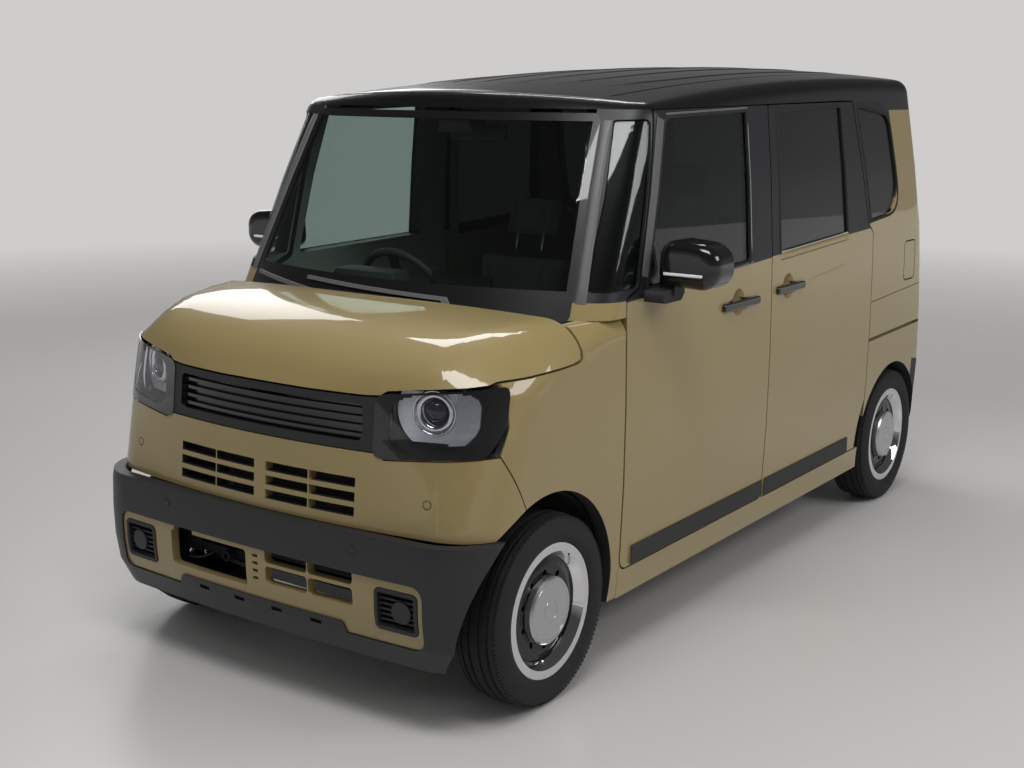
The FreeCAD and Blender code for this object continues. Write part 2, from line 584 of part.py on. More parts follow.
lamp = seamed(90.0, lamp_region, bonnet_room).cut(BONNET_LAYER.common(lamp_region(14.0)))
lamp = lamp.cut(lamp_rod(114.0, -40.0))
light_ring = lamp_rod(107.0, 30.0).cut(lamp_rod(58.0, 0.0)).common(box(0, 1000, NOSE_Y, F, 788.0, 925.0))
projector = lamp_rod(38.0, 40.0).fuse(Part.makeSphere(36.0, LAMP_FACE - LAMP_WAY * 48.0))
lamp = lamp.multiFuse([light_ring.common(NOSE_LIP), projector])
node("headlamps", Part.makeCompound([lamp, mirrored(lamp)]))
grille = seamed(NOSE_WALL, lambda inset: front_prism(GRILLE, inset, NOSE_Y - 100, F - 100), bonnet_room)
grille = grille.cut(BONNET_LAYER.common(front_prism(GRILLE_PANEL, 0.0, NOSE_Y - 100, F - 100)))
ribs = Part.makeCompound([front_bar(-353.0, 353.0, z, RIB_HEIGHT) for z in GRILLE_RIBS])
node("grille_bar", grille.fuse(NOSE_LIP.cut(NOSE_MID).common(ribs)))
bumper = seamed(BUMPER_WALL, lambda inset: side_prism(BUMPER_SIDE, inset, -1000.0).common(
    front_prism(BUMPER_FRONT, inset)), bonnet_room)
slots = Part.makeCompound([front_bar(x0, x1, z, SLOT_HEIGHT) for z in SLOT_ROWS for x0, x1 in SLOT_SPANS])
node("front_bumper", bumper.cut(front_arches).cut(slots))

# ---------------------------------------------------------------- guard, lower bumper and front trim
GUARD_TOP = 545.0
GUARD_BOTTOM = 190.0
GUARD_WALL = 34.0
# Guard, (height, how far the front stands back, how far the side stands in, corner radius).
GUARD_RINGS = (
    (180.0, 46.0, 40.0, 150.0), (260.0, 12.0, 10.0, 165.0), (340.0, 2.0, 2.0, 170.0), (430.0, 0.0, 0.0, 172.0),
    (520.0, 3.0, 0.0, 175.0), (570.0, 12.0, 1.0, 180.0),
)
GUARD_BOW = 8000.0
INSET_PANEL = ((-590.0, 254.0, 34), (590.0, 254.0, 34), (590.0, 434.0, 34), (-590.0, 434.0, 34))
# Lower openings, (x from, x to, z from, z to).
LEFT_INTAKE = (
    (38.0, 196.0, 338.0, 388.0), (200.0, 358.0, 338.0, 388.0),
    (38.0, 196.0, 398.0, 448.0), (200.0, 358.0, 398.0, 448.0),
)
RIGHT_INTAKE = ((-358.0, -38.0, 312.0, 420.0), (-344.0, -262.0, 410.0, 448.0))
DRAIN_SLOTS = tuple((-12.0, 10.0, z, z + 9.0) for z in (340.0, 362.0, 384.0, 406.0))
FOG_BEZEL = ((432.0, 292.0, 18), (574.0, 292.0, 18), (574.0, 412.0, 18), (432.0, 412.0, 18))
FOG_LAMP = (516.0, 350.0)
FOG_SLATS = tuple(306.0 + 15.0 * i for i in range(7))
SKID_TABS = (-222.0, -74.0, 74.0, 222.0)
SKID_PLATE = ((-350.0, 196.0, 20), (-320.0, 286.0, 14), (320.0, 286.0, 14), (350.0, 196.0, 20))


@functools.lru_cache(maxsize=None)
def guard_form(wall):
    rings = []
    for z, back, inset, corner in GUARD_RINGS:
        rings.append(plan_ring(z, HALF - inset - wall, NOSE_Y + back + wall, F + 720.0, corner - wall, 20.0,
                               GUARD_BOW - wall, 20000.0))
    return ruled(rings)


GUARD = guard_form(0.0)
GUARD_SHELL = GUARD.cut(guard_form(GUARD_WALL))
inset_room = front_prism(INSET_PANEL, -1.0, NOSE_Y - 50, F - 200)
guard_room = box(-900, 900, NOSE_Y - 50, F - 60.0, GUARD_BOTTOM, GUARD_TOP)
guard = GUARD_SHELL.common(guard_room).cut(inset_room)
for way in (arch_cut(FRONT_ARCH_RADIUS - 12.0, ARCH_F), mirrored(arch_cut(FRONT_ARCH_RADIUS - 12.0, ARCH_F))):
    guard = guard.cut(way)
skid_room = front_prism(SKID_PLATE, 0.0, NOSE_Y - 50, F - 200)
node("bumper_guard", guard.cut(skid_room))
skid = GUARD_SHELL.common(skid_room).common(guard_room)
inset = guard_form(6.0).cut(guard_form(GUARD_WALL)).common(front_prism(INSET_PANEL, 0.0, NOSE_Y - 50, F - 200))
fog_room = front_prism(FOG_BEZEL, 0.0, NOSE_Y - 50, F - 200)
fog = guard_form(3.0).cut(guard_form(60.0)).common(front_prism(FOG_BEZEL, 1.0, NOSE_Y - 50, F - 200))
fog = fog.cut(GUARD.cut(guard_form(34.0)).common(front_prism(FOG_BEZEL, 12.0, NOSE_Y - 50, F - 200)))
slats = Part.makeCompound([front_bar(440.0, 566.0, z, 6.0) for z in FOG_SLATS])
fog_body = rod(31.0, V(FOG_LAMP[0], NOSE_Y, FOG_LAMP[1]), V(FOG_LAMP[0], F - 300.0, FOG_LAMP[1]))
fog = fog.fuse(guard_form(14.0).cut(guard_form(40.0)).common(slats)).fuse(
    guard_form(9.0).cut(guard_form(40.0)).common(fog_body))
openings = []
for x0, x1, z0, z1 in LEFT_INTAKE + RIGHT_INTAKE + DRAIN_SLOTS:
    room = min(12.0, (z1 - z0) / 2 - 1)
    rows = ((x0, z0, room), (x1, z0, room), (x1, z1, room), (x0, z1, room))
    openings.append(front_prism(rows, 0.0, NOSE_Y - 50, F - 200))
inset = inset.cut(Part.makeCompound(openings[:4] + openings[5:])).cut(openings[4])
inset = inset.cut(fog_room).cut(mirrored(fog_room)).cut(skid_room)
node("lower_bumper", inset)
tabs = Part.makeCompound([front_bar(x - 20.0, x + 20.0, 266.0, 12.0) for x in SKID_TABS])
node("skid_plate", skid.cut(GUARD.cut(guard_form(9.0)).common(tabs)))
node("fog_lamps", Part.makeCompound([fog, mirrored(fog)]))

# ---------------------------------------------------------------- floor, firewall and wheel houses
FIREWALL_Y = F + 172.0
COWL_Z = 1046.0
STEP_Y = R - 560.0
REAR_FLOOR_Z = 500.0
LINER = 6.0
WELL_INNER_F = 395.0
WELL_INNER_R = 470.0
HUB_F = (F, TYRE_RADIUS)
HUB_R = (R, TYRE_RADIUS)


def wheel_house(hub, inner_x, outer_x):
    shell = bar_x(WELL_RADIUS + LINER, inner_x - LINER, outer_x, hub[0], hub[1])
    shell = shell.cut(bar_x(WELL_RADIUS, inner_x, outer_x + 1, hub[0], hub[1]))
    return shell.cut(box(0, 1000, hub[0] - 500, hub[0] + 500, -200, FLOOR_Z - FLOOR_PLATE))


def wells():
    cuts = []
    for hub, inner_x in ((HUB_F, WELL_INNER_F), (HUB_R, WELL_INNER_R)):
        well = bar_x(WELL_RADIUS + LINER, inner_x - LINER, 1000.0, hub[0], hub[1])
        cuts += [well, mirrored(well)]
    return cuts


cabin_side = box(-1000, 1000, FIREWALL_Y, R + 460.0, 0, T)
floor = CABIN_INNER.common(box(-1000, 1000, FIREWALL_Y, STEP_Y, FLOOR_Z - FLOOR_PLATE, FLOOR_Z))
floor = floor.fuse(CABIN_INNER.common(box(-1000, 1000, STEP_Y - 20, STEP_Y, FLOOR_Z, REAR_FLOOR_Z)))
floor = floor.fuse(CABIN_INNER.common(box(-1000, 1000, STEP_Y - 20, TAIL_Y, REAR_FLOOR_Z - 24, REAR_FLOOR_Z)))
floor = floor.fuse(CABIN_INNER.common(box(-640, 640, FIREWALL_Y, FIREWALL_Y + 18, FLOOR_Z, COWL_Z - 32.0)))
for well in wells():
    floor = floor.cut(well)
rear_house = wheel_house(HUB_R, WELL_INNER_R, 1000.0).common(CABIN_INNER)
rear_house = rear_house.cut(box(0, 575, R - 500.0, R + 500.0, 0, 335.0))
front_house = wheel_house(HUB_F, WELL_INNER_F, HALF - NOSE_WALL - 24.0)
front_house = front_house.cut(box(0, 1000, F - 600, F - 30.0, 0, T)).cut(box(0, 500, F - 600, F + 60.0, 0, T))
front_house = front_house.cut(rod(46.0, V(560, F, 400), V(500, F, 786)))
node("floor_pan", floor)
node("wheel_houses", Part.makeCompound([rear_house, mirrored(rear_house), front_house, mirrored(front_house)]))

# ---------------------------------------------------------------- engine bay
TOWER_TOP = 800.0
TOW_MOUTH = V(-200.0, F - 356.0, 347.0)
TOW_RADIUS = 8.0
TOW_DEPTH = 40.0
STRUT_TOP = V(500.0, F, 786.0)
BALL_JOINT = V(600.0, F, 176.0)
STEER_AXIS = (STRUT_TOP - BALL_JOINT).normalize()


def front_frame_half():
    rail = box(330, 380, F - 330.0, FIREWALL_Y, 330, 410)
    post = box(332, 378, F - 330.0, F - 300.0, 410, 640)
    tower = box(392, 566, F - 75.0, F + 75.0, 640, TOWER_TOP).cut(
        box(400, 558, F - 67.0, F + 67.0, 600, TOWER_TOP - 12)).cut(
        Part.makeCylinder(34.0, 60.0, STRUT_TOP + V(0, 0, -40)))
    brace = box(392, 566, F + 75.0, FIREWALL_Y, 700, 740)
    apron = box(566, 600, F - 165.0, FIREWALL_Y, 870, 920)
    link = box(566, 590, F - 60.0, F + 60.0, 700, 870)
    buffer = Part.makeCylinder(12.0, 300.0, V(583.0, F - 60.0, 900.0)).common(nose_form(HOOD_WALL + 0.3))
    return rail.fuse(post), tower.multiFuse([brace, link, apron, buffer])


half_frame, tower = front_frame_half()
node("strut_towers", Part.makeCompound([tower, mirrored(tower)]).removeSplitter())
frame = half_frame.multiFuse([
    mirrored(half_frame), box(-440, 440, F - 330.0, F - 300.0, 640, 690), box(-480, 480, F - 360.0, F - 330.0, 440, 520),
    box(-376, 376, F - 326.0, F - 304.0, 334, 360), rod(17.0, TOW_MOUTH, TOW_MOUTH + V(0, 52, 0)),
]).cut(rod(TOW_RADIUS, TOW_MOUTH, TOW_MOUTH + V(0, TOW_DEPTH, 0)))
node("front_frame", frame.removeSplitter())
engine = outline(((F - 230.0, 300.0, 40), (F + 120.0, 300.0, 40), (F + 150.0, 560.0, 60), (F + 60.0, 800.0, 60),
                  (F - 210.0, 800.0, 60)), lambda p: V(-300, p.x, p.y))
node("engine", Part.Face(engine).extrude(V(600, 0, 0)))

subframe = box(-330, 330, F - 60.0, F + 140.0, 168, 214).cut(box(-230, 230, F, F + 90.0, 160, 220))
mounts = [box(x0, x1, y0, y0 + 46.0, 214, 330) for x0, x1 in ((332, 378), (-378, -332)) for y0 in (F - 60.0, F + 94.0)]
subframe = subframe.multiFuse(mounts + [box(300, 378, F - 60.0, F + 140.0, 168, 214),
                                        box(-378, -300, F - 60.0, F + 140.0, 168, 214)])
engine_mounts = [box(-60, 60, F - 20.0, F + 60.0, 214, 300)]
arm = Part.Face(outline(((360.0, F - 50.0, 0), (560.0, F - 26.0, 30), (626.0, F - 26.0, 24), (626.0, F + 26.0, 24),
                         (560.0, F + 34.0, 60), (360.0, F + 130.0, 0)), lambda p: V(p.x, p.y, 168.0)))
arm = arm.extrude(V(0, 0, 14)).cut(rod(8.3, BALL_JOINT - STEER_AXIS * 30, BALL_JOINT + STEER_AXIS * 30))
subframe = subframe.multiFuse([arm, mirrored(arm)] + engine_mounts)
node("front_subframe", subframe.removeSplitter())

# ---------------------------------------------------------------- steered knuckles with their struts
HUB_CENTRE = V(WHEEL_X, F, TYRE_RADIUS)
SPINDLE_RADIUS = 19.0
carrier = Part.Face(outline(((556.0, 214.0, 14), (606.0, 190.0, 12), (606.0, 330.0, 16), (556.0, 350.0, 14)),
                            lambda p: V(p.x, F - 38.0, p.y))).extrude(V(0, 76, 0))
pin = rod(8.0, BALL_JOINT - STEER_AXIS * 8, BALL_JOINT + STEER_AXIS * 40)
spindle = bar_x(SPINDLE_RADIUS, 600.0, WHEEL_X + 34.0, F, TYRE_RADIUS)
strut = rod(23.0, V(548, F, 300), STRUT_TOP - STEER_AXIS * 190)
piston = rod(10.0, STRUT_TOP - STEER_AXIS * 195, STRUT_TOP + STEER_AXIS * 4)
perch = Part.makeCone(62.0, 68.0, 14.0, STRUT_TOP - STEER_AXIS * 220, STEER_AXIS)
caliper = box(572, 606, F + 60.0, F + 112.0, 236, 330).fuse(box(566, 600, F + 20.0, F + 70.0, 240, 300))
knuckle = carrier.multiFuse([pin, spindle, strut, piston, perch, caliper])
node_pair("knuckle", knuckle.removeSplitter())


# ---------------------------------------------------------------- wheels and tyres
def turned(rows):
    """Solid of revolution about the X axis from (x, radius) rows."""
    points = [V(x, 0, r) for x, r in rows]
    return Part.Face(Part.makePolygon(points + [points[0]])).revolve(V(0, 0, 0), V(1, 0, 0), 360)


def tyre():
    wide = TYRE_WIDTH / 2
    bead = RIM_RADIUS
    top = TYRE_RADIUS

    def at(x, r):
        return V(x, 0, r)

    bulge = top - 46.0
    edges = [
        Part.makeLine(at(-56, bead), at(-56, bead + 18)),
        Part.Arc(at(-56, bead + 18), at(-wide, bulge), at(-wide + 12, top - 10)).toShape(),
        Part.Arc(at(-wide + 12, top - 10), at(0, top), at(wide - 12, top - 10)).toShape(),
        Part.Arc(at(wide - 12, top - 10), at(wide, bulge), at(56, bead + 18)).toShape(),
        Part.makeLine(at(56, bead + 18), at(56, bead)),
        Part.makeLine(at(56, bead), at(-56, bead)),
    ]
    return Part.Face(Part.Wire(edges)).revolve(V(0, 0, 0), V(1, 0, 0), 360)


def wheel():
    rim = turned((
        (-64.0, 194.0), (-58.0, 194.0), (-57.0, RIM_RADIUS), (-20.0, RIM_RADIUS - 2), (-14.0, 160.0), (24.0, 160.0),
        (30.0, RIM_RADIUS - 2), (57.0, RIM_RADIUS), (58.0, 194.0), (66.0, 194.0), (66.0, 170.0), (56.0, 162.0),
        (40.0, 152.0), (24.0, 152.0), (-18.0, 152.0), (-26.0, 168.0), (-64.0, 172.0),
    ))
    dish = turned(((18.0, 153.0), (34.0, 153.0), (44.0, 120.0), (40.0, 96.0), (34.0, 70.0), (28.0, 28.0), (14.0, 28.0),
                   (14.0, 70.0), (26.0, 96.0), (30.0, 120.0)))
    cap = turned(((42.0, 40.0), (42.0, 96.0), (60.0, 97.0), (66.0, 92.0), (66.0, 0.0), (56.0, 0.0), (56.0, 40.0)))
    post = turned(((34.0, 60.0), (34.0, 72.0), (56.0, 72.0), (56.0, 60.0)))
    drum = turned(((-40.0, 44.0), (-28.0, 44.0), (-28.0, 82.0), (-40.0, 82.0)))
    hub = turned(((-40.0, SPINDLE_RADIUS + 1.0), (-40.0, 60.0), (14.0, 60.0), (14.0, SPINDLE_RADIUS + 1.0)))
    solid = rim.multiFuse([dish, cap, post, drum, hub])
    for i in range(10):
        slot = Part.makeCylinder(9.0, 40.0, V(10, 0, 108), V(1, 0, 0))
        slot.rotate(V(0, 0, 0), V(1, 0, 0), 36.0 * i)
        solid = solid.cut(slot)
    return solid


TYRE = tyre()
WHEEL = wheel()
for end, y in (("front", F), ("rear", R)):
    for side_name, turn, x in (("left", 0.0, WHEEL_X), ("right", 180.0, -WHEEL_X)):
        for part_name, shape in (("tyre", TYRE), ("wheel", WHEEL)):
            placed = shape.copy()
            placed.rotate(V(0, 0, 0), V(0, 0, 1), turn)
            placed.translate(V(x, y, TYRE_RADIUS))
            node("%s_%s_%s" % (part_name, end, side_name), placed)

# ---------------------------------------------------------------- rear axle, tank and exhaust
PIVOT_Y = R - 420.0
beam = [
    bar_x(34.0, -500.0, 500.0, R - 130.0, 262.0),
    bar_x(SPINDLE_RADIUS, 540.0, WHEEL_X + 10.0, R, TYRE_RADIUS), bar_x(SPINDLE_RADIUS, -WHEEL_X - 10.0, -540.0, R, TYRE_RADIUS),
]
for sign in (1, -1):
    inner, outer = sorted((sign * 470.0, sign * 520.0))
    arm = Part.Face(outline(((PIVOT_Y - 30.0, 226.0, 28), (R + 40.0, 236.0, 36), (R + 40.0, 312.0, 36),
                             (PIVOT_Y - 30.0, 286.0, 28)), lambda p: V(inner, p.x, p.y))).extrude(V(outer - inner, 0, 0))
    plate = box(*sorted((sign * 520.0, sign * 560.0)), R - 40.0, R + 40.0, 236, 316)
    damper = rod(20.0, V(sign * 430, R + 60, 262), V(sign * 430, R + 60, 400)).fuse(
        rod(9.0, V(sign * 430, R + 60, 395), V(sign * 430, R + 60, REAR_FLOOR_Z - 24.3)))
    seat = box(*sorted((sign * 400.0, sign * 480.0)), R + 30.0, R + 90.0, 244, 262)
    bush = bar_x(26.0, *sorted((sign * 440.0, sign * 560.0)), PIVOT_Y, 256.0)
    hanger = box(*sorted((sign * 444.0, sign * 466.0)), PIVOT_Y - 20.0, PIVOT_Y + 20.0, 256, REAR_FLOOR_Z - 24.3)
    beam += [arm, plate, damper, seat, bush, hanger]
node("rear_axle", beam[0].multiFuse(beam[1:]).removeSplitter())
tank = Part.Face(outline(((STEP_Y + 4.0, 236.0, 40), (STEP_Y + 200.0, 236.0, 50), (STEP_Y + 200.0, 475.7, 30),
                          (STEP_Y + 4.0, 475.7, 12)), lambda p: V(-400, p.x, p.y))).extrude(V(800, 0, 0))
node("fuel_tank", tank)
pipe = rod(24.0, V(-200, F + 150, 186), V(-200, R - 60, 186)).fuse(rod(24.0, V(-200, R - 60, 186), V(-300, R + 150, 300)))
silencer = Part.Face(outline(((-430.0, 240.0, 60), (-180.0, 240.0, 60), (-180.0, 380.0, 60), (-430.0, 380.0, 60)),
                             lambda p: V(p.x, R + 110.0, p.y))).extrude(V(0, 180, 0))
tail_pipe = rod(20.0, V(-390, R + 262, 270), V(-390, R + 275, 200))
hook = box(-320, -290, R + 180.0, R + 210.0, 380, REAR_FLOOR_Z - 24.3)
node("exhaust", pipe.multiFuse([silencer, tail_pipe, hook]).removeSplitter())

# ---------------------------------------------------------------- cabin
COLUMN_X = -330.0
WHEEL_HUB = V(COLUMN_X, F + 640.0, 990.0)
COLUMN_TILT = 25.0
cowl = box(-560, 560, F + 58.0, F + 300.0, COWL_Z - 12, COWL_Z).cut(CABIN)
plenum = CABIN.common(box(-600, 600, F, FIREWALL_Y + 18.0, COWL_Z - 32, COWL_Z)).cut(screen_seat)
node("cowl_panel", cowl.fuse(plenum))
dash_rows = ((FIREWALL_Y + 18.3, 730.0, 20), (FIREWALL_Y + 18.3, 1040.0, 10), (F + 390.0, 1052.0, 60),
             (F + 500.0, 1000.0, 50), (F + 520.0, 880.0, 60), (F + 450.0, 730.0, 50))
dash = Part.Face(outline(dash_rows, lambda p: V(-628, p.x, p.y))).extrude(V(1256, 0, 0)).common(CABIN_INNER)
column_dir = V(0, math.cos(math.radians(COLUMN_TILT)), math.sin(math.radians(COLUMN_TILT)))
column_hole = rod(19.3, WHEEL_HUB - column_dir * 330, WHEEL_HUB)
shaft = rod(19.0, WHEEL_HUB - column_dir * 230, WHEEL_HUB)
shroud = rod(42.0, WHEEL_HUB - column_dir * 260, WHEEL_HUB - column_dir * 60)
node("dashboard", dash.fuse(shroud).cut(column_hole))
rim = Part.makeTorus(178.0, 14.0, V(0, 0, 0), V(0, 0, 1))
spoke = box(-176, 176, -16, 16, -8, 6)
spoke_low = box(-16, 16, -176, 0, -8, 6)
boss = Part.makeCylinder(56.0, 34.0, V(0, 0, -22))
steering = rim.multiFuse([spoke, spoke_low, boss])
steering.rotate(V(0, 0, 0), V(1, 0, 0), -(90.0 - COLUMN_TILT))
steering.translate(WHEEL_HUB)
node("steering_wheel", steering.fuse(shaft))


def seat_shape(x, width, y, base_z, floor_z, back_lean=0.26):
    cushion = Part.Face(outline(((y, base_z, 30), (y + 520.0, base_z, 20), (y + 520.0, base_z + 120.0, 20),
                                 (y, base_z + 150.0, 60)), lambda p: V(x - width / 2, p.x, p.y))).extrude(V(width, 0, 0))
    back = Part.Face(outline(((y + 430.0, base_z + 90.0, 30), (y + 560.0, base_z + 60.0, 30),
                              (y + 560.0 + back_lean * 560, base_z + 620.0, 45), (y + 455.0 + back_lean * 560, base_z + 640.0, 40)),
                             lambda p: V(x - width / 2 + 15, p.x, p.y))).extrude(V(width - 30, 0, 0))
    head = Part.Face(outline(((y + 490.0 + back_lean * 560, base_z + 660.0, 30), (y + 570.0 + back_lean * 560, base_z + 660.0, 30),
                              (y + 600.0 + back_lean * 560, base_z + 820.0, 30), (y + 515.0 + back_lean * 560, base_z + 820.0, 30)),
                             lambda p: V(x - 120, p.x, p.y))).extrude(V(240, 0, 0))
    posts = [rod(6.0, V(x + d, y + 490 + back_lean * 560, base_z + 600), V(x + d, y + 545 + back_lean * 560, base_z + 680))
             for d in (-60, 60)]
    base = box(x - width / 2 + 60, x + width / 2 - 60, y + 80.0, y + 440.0, floor_z, base_z + 20)
    return cushion.multiFuse([back, head, base] + posts)


node("front_seats", Part.makeCompound([seat_shape(x, 500.0, F + 740.0, 470.0, FLOOR_Z + 0.3) for x in (-335.0, 335.0)]))
node("rear_seat", Part.makeCompound([seat_shape(x, 560.0, STEP_Y - 130.0, REAR_FLOOR_Z + 60.0, REAR_FLOOR_Z + 0.3)
                                     for x in (-290.0, 290.0)]))

# ---------------------------------------------------------------- mirrors
mirror_body = Part.Face(outline(((748.0, 1140.0, 40), (925.0, 1130.0, 55), (925.0, 1262.0, 60), (756.0, 1278.0, 50)),
                                lambda p: V(p.x, F + 480.0, p.y))).extrude(V(0, 110, 0))
mirror_body = mirror_body.makeFillet(28.0, [e for e in mirror_body.Edges if abs(e.BoundBox.YMax - (F + 480.0)) < 1
                                            and e.BoundBox.YLength < 1])
foot = Part.Face(outline(((F + 440.0, 1092.0, 14), (F + 560.0, 1092.0, 20), (F + 570.0, 1132.0, 16), (F + 450.0, 1128.0, 14)),
                         lambda p: V(690, p.x, p.y))).extrude(V(105, 0, 0)).cut(CABIN)
stalk = box(752, 800, F + 500.0, F + 560.0, 1110, 1160)
node_pair("mirror", mirror_body.multiFuse([foot, stalk]).removeSplitter())
WIPER_ROWS = (
    ((300.0, COWL_Z + 0.3, 0), (320.0, COWL_Z + 0.3, 0), (262.0, 1104.0, 0), (-300.0, 1122.0, 0), (-300.0, 1112.0, 0), (250.0, 1094.0, 0)),
    ((-250.0, COWL_Z + 0.3, 0), (-230.0, COWL_Z + 0.3, 0), (-262.0, 1086.0, 0), (-590.0, 1110.0, 0), (-590.0, 1100.0, 0),
     (-274.0, 1076.0, 0)),
)
wiper_layer = depth_form(-11.0).cut(depth_form(-4.0))
wipers = [wiper_layer.common(front_prism(rows, 0.0, F - 100, F + 500.0)) for rows in WIPER_ROWS]
node("wipers", Part.makeCompound(wipers))

for name in sorted(NODES):
    shape = NODES[name]
    shape.exportStep("parts/%s.step" % name)
    print("%-22s %s solids %d faces %3d volume %8.3f l" % (
        name, shape.isValid(), len(shape.Solids), len(shape.Faces), shape.Volume / 1e6))
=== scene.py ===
"""Looks of a tall box-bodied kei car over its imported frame: finishes, glazing, lamps, trims, tyres and cabin."""
import json
import logging
import math
from dataclasses import dataclass, field
from enum import Enum
from functools import partial
from typing import Callable, Iterable, Sequence

import bmesh
import bpy
import numpy as np
from mathutils import Matrix, Vector
from mathutils.bvhtree import BVHTree
from mathutils.kdtree import KDTree


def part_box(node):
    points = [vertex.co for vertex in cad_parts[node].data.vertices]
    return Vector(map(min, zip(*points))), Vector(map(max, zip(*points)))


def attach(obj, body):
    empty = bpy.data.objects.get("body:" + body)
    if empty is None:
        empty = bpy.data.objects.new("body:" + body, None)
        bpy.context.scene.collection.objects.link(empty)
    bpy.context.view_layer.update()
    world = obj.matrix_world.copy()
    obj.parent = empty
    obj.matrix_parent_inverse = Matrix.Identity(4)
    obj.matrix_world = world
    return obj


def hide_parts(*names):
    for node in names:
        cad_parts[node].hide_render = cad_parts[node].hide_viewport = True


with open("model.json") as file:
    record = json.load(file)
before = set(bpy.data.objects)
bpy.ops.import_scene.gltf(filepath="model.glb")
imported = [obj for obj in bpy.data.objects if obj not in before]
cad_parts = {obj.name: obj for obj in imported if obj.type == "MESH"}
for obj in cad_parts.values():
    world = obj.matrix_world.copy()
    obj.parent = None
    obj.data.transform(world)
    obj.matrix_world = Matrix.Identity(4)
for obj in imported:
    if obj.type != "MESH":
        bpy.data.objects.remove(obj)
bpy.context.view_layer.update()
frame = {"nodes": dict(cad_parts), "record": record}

LOG = logging.getLogger("kei_car")
Point = tuple[float, float, float]
Row = tuple[float, float]
Chooser = Callable[[Vector, Vector], int]

Line = tuple[float, float, float]

HALF_WIDTH = 0.7375
NOSE_Y = -1.6975
FRONT_AXLE = -1.261
REAR_AXLE = 1.259
TYRE_RADIUS = 0.276
SEAM_SHARP = math.radians(34.0)
EDGE_SHARP = math.radians(40.0)
FOLD_SHARP = math.radians(28.0)
BEAD_SHARP = math.radians(60.0)
TINY = 1e-30


class Side(Enum):
    """The two sides of the car; the value is the sign of X."""

    LEFT = 1
    RIGHT = -1

    @property
    def label(self) -> str:
        """The side's word in the names of pieces."""
        return self.name.lower()


class End(Enum):
    """The two axles, with their place along Y."""

    FRONT = FRONT_AXLE
    REAR = REAR_AXLE

    @property
    def label(self) -> str:
        """The axle's word in the names of pieces."""
        return self.name.lower()


# ---------------------------------------------------------------- finishes
@dataclass(frozen=True)
class Finish:
    """An opaque surface.

    Attributes:
        name: Material name.
        colour: Linear base colour.
        rough: Roughness of the base.
        metal: Metallic share.
        coat: Weight of the clear coat.
        grain: Height of the surface grain, in metres.
        scale: Grains per metre.
        tint: Share by which the colour drifts over the surface.
        weave: Whether the grain is a woven cloth.
        ribs: Fins per metre along Z, or 0 for none.
        sheen: Weight of the cloth sheen.
    """

    name: str
    colour: Point
    rough: float
    metal: float = 0.0
    coat: float = 0.0
    grain: float = 0.0
    scale: float = 300.0
    tint: float = 0.06
    weave: bool = False
    ribs: float = 0.0
    sheen: float = 0.0


@dataclass(frozen=True)
class Glass:
    """A see-through sheet.

    Attributes:
        name: Material name.
        tint: Colour of the light that passes.
        film: Share of light that a dark film or print stops.
        border: Printed edge of a trapezium: bottom z, top z, half width at the bottom,
            half width at the top, border width, height of the bottom band.
        gloss: Share of light that it mirrors when seen square on.
    """

    name: str
    tint: Point
    film: float = 0.0
    border: tuple[float, ...] = ()
    gloss: float = 0.04


BODY = Finish("body_paint", (0.305, 0.232, 0.096), 0.40, coat=1.0, grain=0.00004, scale=900.0, tint=0.03)
ROOF = Finish("roof_paint", (0.004, 0.004, 0.005), 0.34, coat=0.7, grain=0.00003, scale=900.0)
PIANO = Finish("piano_black", (0.006, 0.006, 0.007), 0.22, coat=1.0, grain=0.00002, scale=1200.0)
PILLAR = Finish("pillar_film", (0.010, 0.011, 0.014), 0.42, grain=0.00003, scale=1500.0)
SATIN = Finish("satin_grey", (0.120, 0.121, 0.124), 0.42, grain=0.00003, scale=1400.0)
TRIM = Finish("trim_plastic", (0.022, 0.022, 0.023), 0.56, grain=0.00016, scale=1300.0)
GUARD = Finish("guard_plastic", (0.024, 0.024, 0.027), 0.42, grain=0.00012, scale=1500.0)
RUBBER = Finish("seal_rubber", (0.012, 0.012, 0.012), 0.72, grain=0.00010, scale=900.0)
TYRE = Finish("tyre_rubber", (0.016, 0.016, 0.016), 0.78, grain=0.00018, scale=700.0)
CHROME = Finish("chrome", (0.78, 0.78, 0.79), 0.06, metal=1.0, grain=0.00001, scale=200.0)
SILVER = Finish("silver_cap", (0.52, 0.53, 0.54), 0.30, metal=0.85, grain=0.00004, scale=1600.0)
DISH = Finish("dark_dish", (0.055, 0.056, 0.060), 0.18, metal=0.9, grain=0.00003, scale=900.0)
STEEL = Finish("cast_steel", (0.17, 0.17, 0.17), 0.55, metal=0.8, grain=0.00045, scale=260.0, tint=0.2)
BLOCK = Finish("finned_block", (0.05, 0.05, 0.052), 0.55, metal=0.6, grain=0.0006, scale=120.0, ribs=160.0)
UNDER = Finish("underbody_coat", (0.020, 0.020, 0.021), 0.85, grain=0.0006, scale=350.0, tint=0.2)
TANK = Finish("tank_plastic", (0.014, 0.014, 0.014), 0.62, grain=0.0003, scale=500.0)
CABIN = Finish("cabin_plastic", (0.235, 0.240, 0.215), 0.62, grain=0.00025, scale=1100.0)
CABIN_DARK = Finish("cabin_dark", (0.030, 0.030, 0.031), 0.58, grain=0.0002, scale=1100.0)
CARPET = Finish("floor_carpet", (0.040, 0.039, 0.037), 0.95, grain=0.0009, scale=520.0, sheen=0.3, tint=0.2)
CLOTH = Finish("seat_cloth", (0.170, 0.160, 0.140), 0.90, grain=0.0005, scale=420.0, weave=True, sheen=0.35,
               tint=0.1)
LIGHT_GUIDE = Finish("light_guide", (0.90, 0.93, 0.96), 0.30, coat=1.0, grain=0.00005, scale=60.0)
PROJECTOR = Finish("projector_glass", (0.020, 0.012, 0.035), 0.05, coat=1.0, grain=0.00001, scale=50.0)
